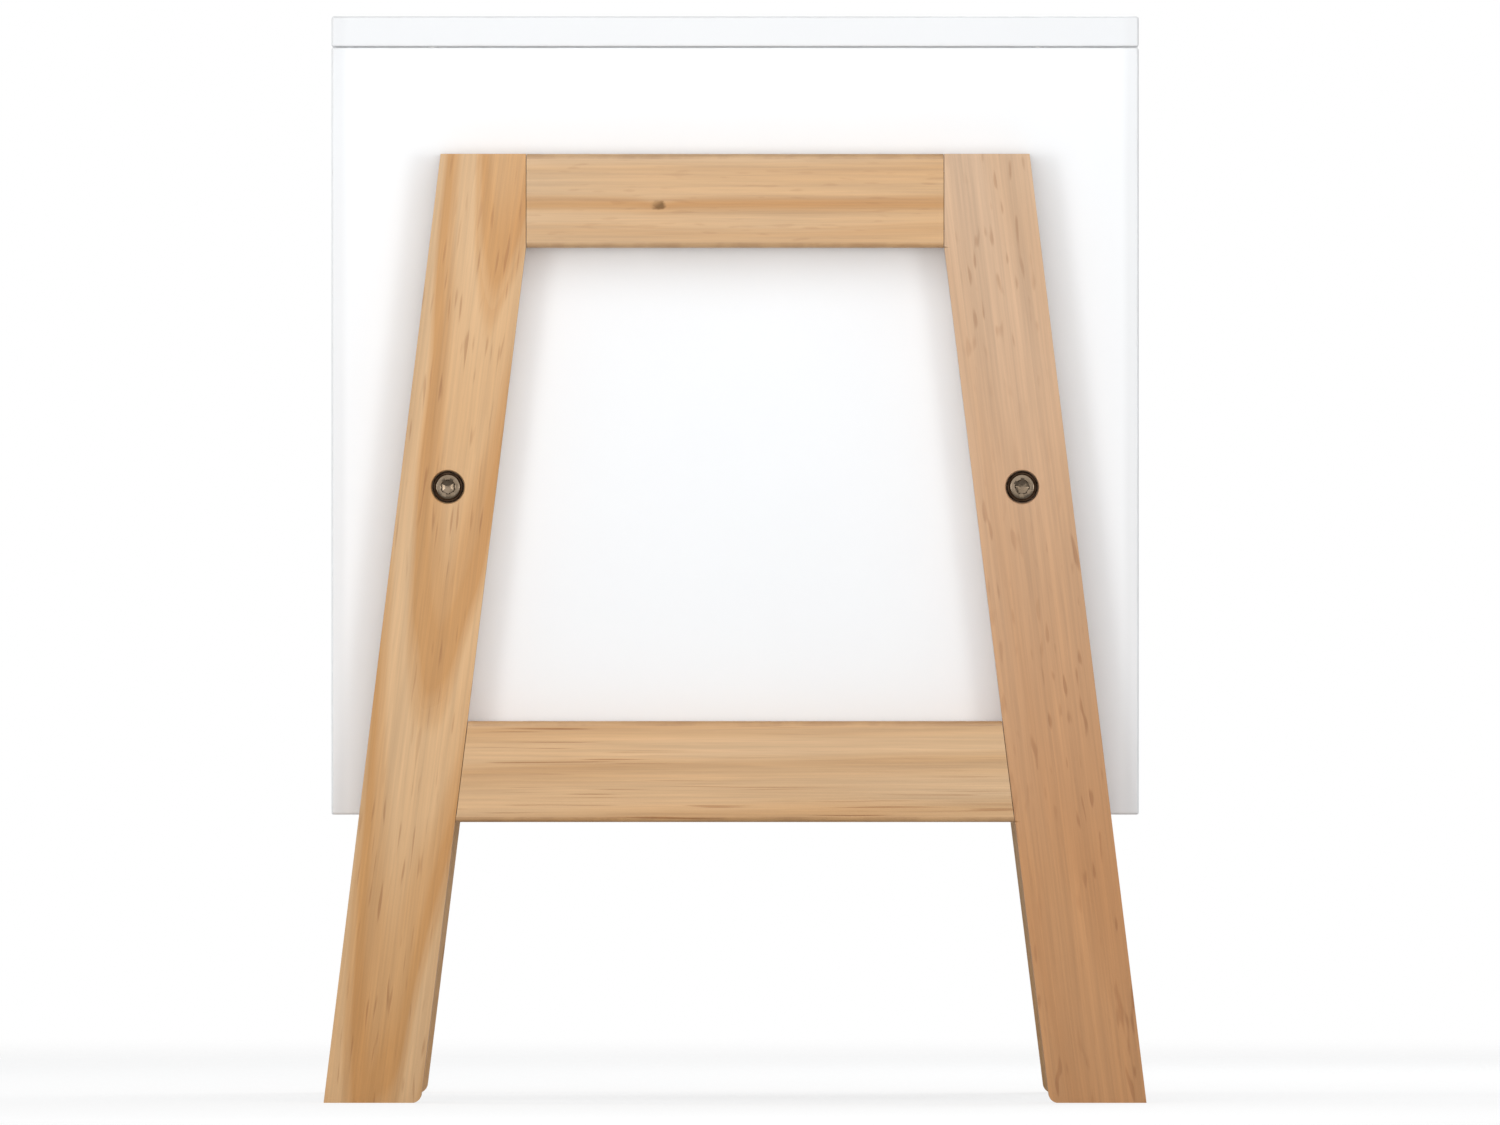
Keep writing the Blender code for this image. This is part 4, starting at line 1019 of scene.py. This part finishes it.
def make_washer(tag, side, count):
    """Build the washer under one cap screw's head."""
    settings = bpy.context.scene.bedside_fixings
    low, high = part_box(f"washer_{tag}")
    middle = (low + high) / 2
    mesh = washer_mesh((high.z - low.z) / 2, SHANK_RADIUS + GAP, high.x - low.x)
    start = low.x if side > 0 else high.x
    mesh.transform(Matrix.Translation((start, middle.y, middle.z)) @ turn_to_side(side))
    # painted shade: the washer's dark brown stands for the shadow in the recess
    plating = metal(f"Zinc washer {tag}", settings.washers, 3.0 * count + 1, 0.25, 0.40)
    place_piece(f"plain_washer_{tag}", mesh, plating, "cabinet", "zinc_plated", f"washer_{tag}")


class BEDSIDE_OT_frame_fixings(bpy.types.Operator):
    """Build the socket cap screws and washers that hold the frames to the cabinet"""
    bl_idname = "bedside.frame_fixings"
    bl_label = "Frame fixings"

    def execute(self, context):
        zinc = context.scene.bedside_fixings.zinc
        for count, (tag, _, side) in enumerate(TAGS):
            make_screw(tag, side, count)
            make_washer(tag, side, count)
            repaint(f"insert_{tag}", metal(f"Zinc insert {tag}", zinc, count + 0.5, 0.3, 0.45))
        return {"FINISHED"}


# ---- Boards

HARDBOARD_ROUNDING = 0.0004
HARDBOARD_STEPS = 2
PIN_HOLE_RADIUS = 0.0028
TOP_SHADE = 0.91              # the top board's coat as a share of the other boards'


def rounded_board(node, radius, steps):
    """A board as large as a CAD node, with its edges rounded."""
    bm = bmesh.new()
    low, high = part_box(node)
    block(bm, low, high)
    round_edges(bm, bm.edges[:], min(radius, min(high - low) / 3), steps)
    return bm


def sleeve(bm, node, axis, radius=None, mouth=0, steps=BORE_STEPS):
    """Add a cutter round a fixing: a hole along one axis, open at its mouth."""
    low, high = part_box(node)
    middle = (low + high) / 2
    across = [i for i in range(3) if i != axis]
    start, end = middle.copy(), middle.copy()
    start[axis] = low[axis] - GAP - (OVERCUT if mouth < 0 else 0)
    end[axis] = high[axis] + GAP + (OVERCUT if mouth > 0 else 0)
    bore(bm, start, end, radius or (high - low)[across[0]] / 2 + GAP, steps)


def groove_for(node, grow=(0, 0, 0)):
    """A cutter round a panel that slides into a groove."""
    low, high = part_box(node)
    room = Vector((GAP, GAP, GAP)) + Vector(grow)
    bm = bmesh.new()
    block(bm, low - room, high + room)
    return bm


def finish_board(node, name, bm, cutter, material, body, slot):
    """Cut a board's holes and grooves, and put it in its node's place."""
    mesh = mesh_from(name, bm)
    if cutter is not None:
        mesh = carve(mesh, cutter)
    mark_arrises(mesh, AXES)
    place_piece(name, mesh, material, body, slot, node)


def make_board(node, seed, body="cabinet", cutter=None, bm=None, share=1.0, steps=None,
               shade=1.0, ends=0.0):
    """Build a white board, its edges rounded by a share of the usual radius."""
    settings = bpy.context.scene.bedside_boards
    if bm is None:
        bm = rounded_board(node, settings.rounding * share, steps or settings.rounding_steps)
    colour = [shade * part for part in settings.lacquer]
    material = white_lacquer(f"White {node.replace('_', ' ')}", colour, seed, ends=ends)
    finish_board(node, f"white_{node}", bm, cutter, material, body, "white_board")


def make_hardboard(node, name, look, seed, body):
    """Build a thin panel of coated hardboard."""
    colour = bpy.context.scene.bedside_boards.hardboard
    material = white_lacquer(look, colour, seed, 0.45, 0.6, 1200.0)
    bm = rounded_board(node, HARDBOARD_ROUNDING, HARDBOARD_STEPS)
    finish_board(node, name, bm, None, material, body, "white_hardboard")


def side_cutter(side_name, side):
    """A side's groove for the back, and its holes for inserts, cams, shelf pins and bolts."""
    bm = groove_for("back_panel")
    tags = [f"{end_name}_{side_name}" for end_name, _ in ENDS]
    for tag in tags:
        sleeve(bm, f"insert_{tag}", 0, mouth=side)
        sleeve(bm, f"top_cam_{tag}", 0, mouth=-side)
        sleeve(bm, f"shelf_pin_{tag}", 0, radius=PIN_HOLE_RADIUS, mouth=-side, steps=PIN_STEPS)
    for tag in tags:
        sleeve(bm, f"bottom_cam_bolt_{tag}", 0, steps=PIN_STEPS)
    return bm


def bottom_cutter():
    """The bottom board's groove for the back, and its holes for cams."""
    bm = groove_for("back_panel", (OVERCUT, 0, 0))
    for tag, _, _ in TAGS:
        sleeve(bm, f"bottom_cam_{tag}", 2, mouth=-1)
    return bm


class BEDSIDE_OT_carcass(bpy.types.Operator):
    """Build the cabinet's boards: sides, top, bottom, shelf and back panel"""
    bl_idname = "bedside.carcass"
    bl_label = "Carcass"

    def execute(self, context):
        # ends sets the painted shade on the front and rear edges of the sides and the top board
        for count, (side_name, side) in enumerate(SIDES):
            make_board(f"side_{side_name}", 2.0 + count, cutter=side_cutter(side_name, side),
                       ends=0.08)
        make_board("top_board", 5.0, cutter=groove_for("back_panel"), shade=TOP_SHADE, ends=0.03)
        make_board("bottom_board", 7.0, cutter=bottom_cutter(), share=0.5)
        make_board("shelf", 11.0, share=0.5)
        make_hardboard("back_panel", "hardboard_back", "Coated hardboard back", 13.0, "cabinet")
        return {"FINISHED"}


class BEDSIDE_OT_carcass_fixings(bpy.types.Operator):
    """Finish the cam locks, their bolts and the shelf pins"""
    bl_idname = "bedside.carcass_fixings"
    bl_label = "Carcass fixings"

    def execute(self, context):
        settings = context.scene.bedside_fixings
        cast = metal("Die-cast cam locks", settings.die_cast, 31.0, 0.34, 0.55, 0.25)
        bolt = metal("Zinc cam bolts", settings.zinc, 33.0, 0.25, 0.40)
        pin = metal("Zinc shelf pins", settings.zinc, 35.0, 0.20, 0.36)
        for tag, _, _ in TAGS:
            for row in ("top", "bottom"):
                repaint(f"{row}_cam_{tag}", cast)
                repaint(f"{row}_cam_bolt_{tag}", bolt)
            repaint(f"shelf_pin_{tag}", pin)
        return {"FINISHED"}


# ---- Drawer

GRIP_WIDTH = 0.100
GRIP_DEPTH = 0.022
GRIP_ROUND = 0.014
GRIP_STEPS = 12               # faces round each lower corner of the grip
FRONT_SHARE = 0.75            # the front's rounding as a share of the boards'
RIM_ANGLE = math.radians(50)  # edges turned by more than this are the front's rim


def drawer_front():
    """The drawer front: a board with a finger grip dipped into its upper edge."""
    settings = bpy.context.scene.bedside_boards
    low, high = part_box("drawer_front")
    bm = bmesh.new()
    block(bm, low, high)
    tool = bmesh.new()
    block(tool, (-GRIP_WIDTH / 2, low.y - OVERCUT, high.z - GRIP_DEPTH),
          (GRIP_WIDTH / 2, high.y + OVERCUT, high.z + GRIP_DEPTH))
    corners = [e for e in tool.edges if abs(e.verts[0].co.y - e.verts[1].co.y) > TINY]
    round_edges(tool, corners, GRIP_ROUND, GRIP_STEPS)
    mesh = carve(mesh_from("white_drawer_front", bm), tool)
    bm = bmesh.new()
    bm.from_mesh(mesh)
    bmesh.ops.remove_doubles(bm, verts=bm.verts[:], dist=TINY)
    rim = [
        edge for edge in bm.edges
        if len(edge.link_faces) == 2 and edge.calc_face_angle(0) > RIM_ANGLE
    ]
    round_edges(bm, rim, settings.rounding * FRONT_SHARE, settings.rounding_steps)
    return bm


class BEDSIDE_OT_drawer(bpy.types.Operator):
    """Build the drawer: its front with a finger grip, two sides, back and bottom"""
    bl_idname = "bedside.drawer"
    bl_label = "Drawer"

    def execute(self, context):
        make_board("drawer_front", 17.0, "drawer", groove_for("drawer_bottom"), drawer_front())
        for count, (side_name, _) in enumerate(SIDES):
            make_board(f"drawer_side_{side_name}", 19.0 + count, "drawer",
                       groove_for("drawer_bottom", (0, OVERCUT, 0)))
        make_board("drawer_back", 23.0, "drawer", share=0.5, steps=3)
        make_hardboard("drawer_bottom", "hardboard_drawer_bottom",
                       "Coated hardboard drawer bottom", 29.0, "drawer")
        return {"FINISHED"}


# ---- Runners and rollers

class BEDSIDE_OT_runners(bpy.types.Operator):
    """Finish the enamelled runners and their nylon rollers"""
    bl_idname = "bedside.runners"
    bl_label = "Runners and rollers"

    def execute(self, context):
        settings = context.scene.bedside_fixings
        enamel = white_lacquer("White enamel", settings.enamel, 41.0, 0.28, 0.42, 1600.0)
        rollers = nylon("White nylon", settings.nylon)
        for side_name, _ in SIDES:
            for owner in ("cabinet", "drawer"):
                repaint(f"{owner}_runner_{side_name}", enamel)
                repaint(f"{owner}_roller_{side_name}", rollers)
        return {"FINISHED"}


# ---- Stage

# Each light: its name, the setting that holds its power, its place, its aim and its size
LIGHTS = (
    ("key", "key_power", (1.15, -0.04, 0.74), (0.22, 0, 0.40), 1.2),
    ("level light front", "level_power", (5.2, -2.6, 0.35), (0.22, 0, 0.3), 1.6),
    ("level light back", "level_power", (5.2, 2.6, 0.35), (0.22, 0, 0.3), 1.6),
    ("front light", "front_power", (-0.3, -1.4, 0.95), (0, -0.2, 0.35), 1.0),
    ("fill", "fill_power", (-1.3, 0.6, 1.2), (-0.2, 0, 0.35), 1.2),
)
SURROUND_COLOUR = (0.96, 0.98, 1.0, 1)
FLOOR_STEPS = 96
FADE_START, FADE_END = 0.3, 0.9   # where the floor fades, as shares of its radius
SENSOR_WIDTH = 36.0           # in millimetres, as the lens is
FAR_LIMIT = 100.0             # how far the camera sees
EYE_ASIDE, EYE_HEIGHT = 0.0074, 0.2675


def make_floor(settings):
    """A round floor that fades out towards its rim."""
    bm = bmesh.new()
    bmesh.ops.create_circle(bm, cap_ends=True, segments=FLOOR_STEPS,
                             radius=settings.floor_radius)
    floor = bpy.data.objects.new("floor", mesh_from("floor", bm))
    bpy.context.scene.collection.objects.link(floor)
    material, net, shader = new_material("Pale floor")
    place = object_place(net)
    seen = net.node("ShaderNodeLightPath").outputs["Is Camera Ray"]
    shade = net.remap(net.noise(place, (3, 3, 3), 3.0), 0.3, 0.7, 0.985, 1.0)
    colour = net.tint(1.0, tuple(settings.floor_colour), shade)
    bounce = (settings.floor_bounce,) * 3
    net.feed(shader.inputs["Base Color"], net.mix(seen, bounce, colour))
    net.feed(shader.inputs["Roughness"], net.remap(shade, 0.985, 1.0, 0.70, 0.80))
    shader.inputs["Specular IOR Level"].default_value = 0.2
    glow, clear = net.node("ShaderNodeEmission"), net.node("ShaderNodeBsdfTransparent")
    lifted, faded = net.node("ShaderNodeMixShader"), net.node("ShaderNodeMixShader")
    reach = net.vector_math("LENGTH", place)
    links = material.node_tree.links
    net.feed(lifted.inputs[0], net.math("MULTIPLY", seen, settings.floor_glow))
    links.new(shader.outputs[0], lifted.inputs[1])
    links.new(glow.outputs[0], lifted.inputs[2])
    net.feed(faded.inputs[0], net.remap(reach, settings.floor_radius * FADE_START,
                                        settings.floor_radius * FADE_END, smooth=True))
    links.new(lifted.outputs[0], faded.inputs[1])
    links.new(clear.outputs[0], faded.inputs[2])
    links.new(faded.outputs[0], net.tree.nodes["Material Output"].inputs["Surface"])
    floor.data.materials.append(material)


def make_light(name, power, place, aim, size):
    """A round soft light that the camera doesn't see."""
    light = bpy.data.lights.new(name, "AREA")
    light.shape = "DISK"
    light.size = size
    light.energy = power
    lamp = bpy.data.objects.new(name, light)
    lamp.location = place
    lamp.visible_camera = False
    lamp.rotation_euler = (Vector(aim) - Vector(place)).to_track_quat("-Z", "Y").to_euler()
    bpy.context.scene.collection.objects.link(lamp)


def make_surround(strength):
    """White to the camera, and an even soft light to everything else."""
    world = bpy.data.worlds.new("studio")
    world.use_nodes = True
    net = Net(world.node_tree)
    world.node_tree.nodes.clear()
    seen, lit = net.node("ShaderNodeBackground"), net.node("ShaderNodeBackground")
    seen.inputs["Color"].default_value = (1, 1, 1, 1)
    lit.inputs["Color"].default_value = SURROUND_COLOUR
    lit.inputs["Strength"].default_value = strength
    choice = net.node("ShaderNodeMixShader")
    net.feed(choice.inputs[0], net.node("ShaderNodeLightPath").outputs["Is Camera Ray"])
    world.node_tree.links.new(lit.outputs[0], choice.inputs[1])
    world.node_tree.links.new(seen.outputs[0], choice.inputs[2])
    output = net.node("ShaderNodeOutputWorld")
    world.node_tree.links.new(choice.outputs[0], output.inputs["Surface"])
    bpy.context.scene.world = world


def make_camera(settings):
    """A long lens square to the right-hand leg frame."""
    data = bpy.data.cameras.new("camera")
    data.lens, data.sensor_width = settings.lens, SENSOR_WIDTH
    data.clip_end = FAR_LIMIT
    distance = settings.view_width * settings.lens / SENSOR_WIDTH
    camera = bpy.data.objects.new("camera", data)
    camera.location = (LEG_HIGH.x + distance, EYE_ASIDE, EYE_HEIGHT)
    camera.rotation_euler = (math.pi / 2, 0, math.pi / 2)
    bpy.context.scene.collection.objects.link(camera)
    bpy.context.scene.camera = camera


class BEDSIDE_OT_stage(bpy.types.Operator):
    """Set up the pale floor, the soft lights and the camera"""
    bl_idname = "bedside.stage"
    bl_label = "Stage"

    def execute(self, context):
        settings = context.scene.bedside_stage
        make_camera(settings)
        make_floor(settings)
        make_surround(settings.surround)
        for name, power, place, aim, size in LIGHTS:
            make_light(name, getattr(settings, power), place, aim, size)
        context.scene.view_settings.view_transform = "Standard"
        return {"FINISHED"}


# ---- Panel and registration

OPERATORS = (
    BEDSIDE_OT_leg_frames, BEDSIDE_OT_frame_fixings, BEDSIDE_OT_carcass,
    BEDSIDE_OT_carcass_fixings, BEDSIDE_OT_drawer, BEDSIDE_OT_runners, BEDSIDE_OT_stage,
)
SETTINGS = {
    "bedside_timber": TimberSettings, "bedside_boards": BoardSettings,
    "bedside_fixings": FixingSettings, "bedside_stage": StageSettings,
}


class BEDSIDE_PT_panel(bpy.types.Panel):
    """Steps and settings of the bedside cabinet"""
    bl_label = "Bedside cabinet"
    bl_idname = "BEDSIDE_PT_panel"
    bl_space_type = "VIEW_3D"
    bl_region_type = "UI"
    bl_category = "Bedside"

    def draw(self, context):
        for operator in OPERATORS:
            self.layout.operator(operator.bl_idname)
        for attribute, kind in SETTINGS.items():
            box = self.layout.box()
            for name in kind.__annotations__:
                box.prop(getattr(context.scene, attribute), name)


def register():
    """Add the settings, the steps and the panel to Blender."""
    for kind in (*SETTINGS.values(), *OPERATORS, BEDSIDE_PT_panel):
        bpy.utils.register_class(kind)
    for attribute, kind in SETTINGS.items():
        setattr(bpy.types.Scene, attribute, PointerProperty(type=kind))


def unregister():
    """Take the panel, the steps and the settings out again."""
    for attribute in SETTINGS:
        delattr(bpy.types.Scene, attribute)
    for kind in (BEDSIDE_PT_panel, *reversed(OPERATORS), *SETTINGS.values()):
        bpy.utils.unregister_class(kind)


def main():
    """Build the whole cabinet on its stage."""
    register()
    bpy.ops.bedside.stage()
    bpy.ops.bedside.leg_frames()
    bpy.ops.bedside.frame_fixings()
    bpy.ops.bedside.carcass()
    bpy.ops.bedside.carcass_fixings()
    bpy.ops.bedside.drawer()
    bpy.ops.bedside.runners()


if __name__ == "__main__":
    main()
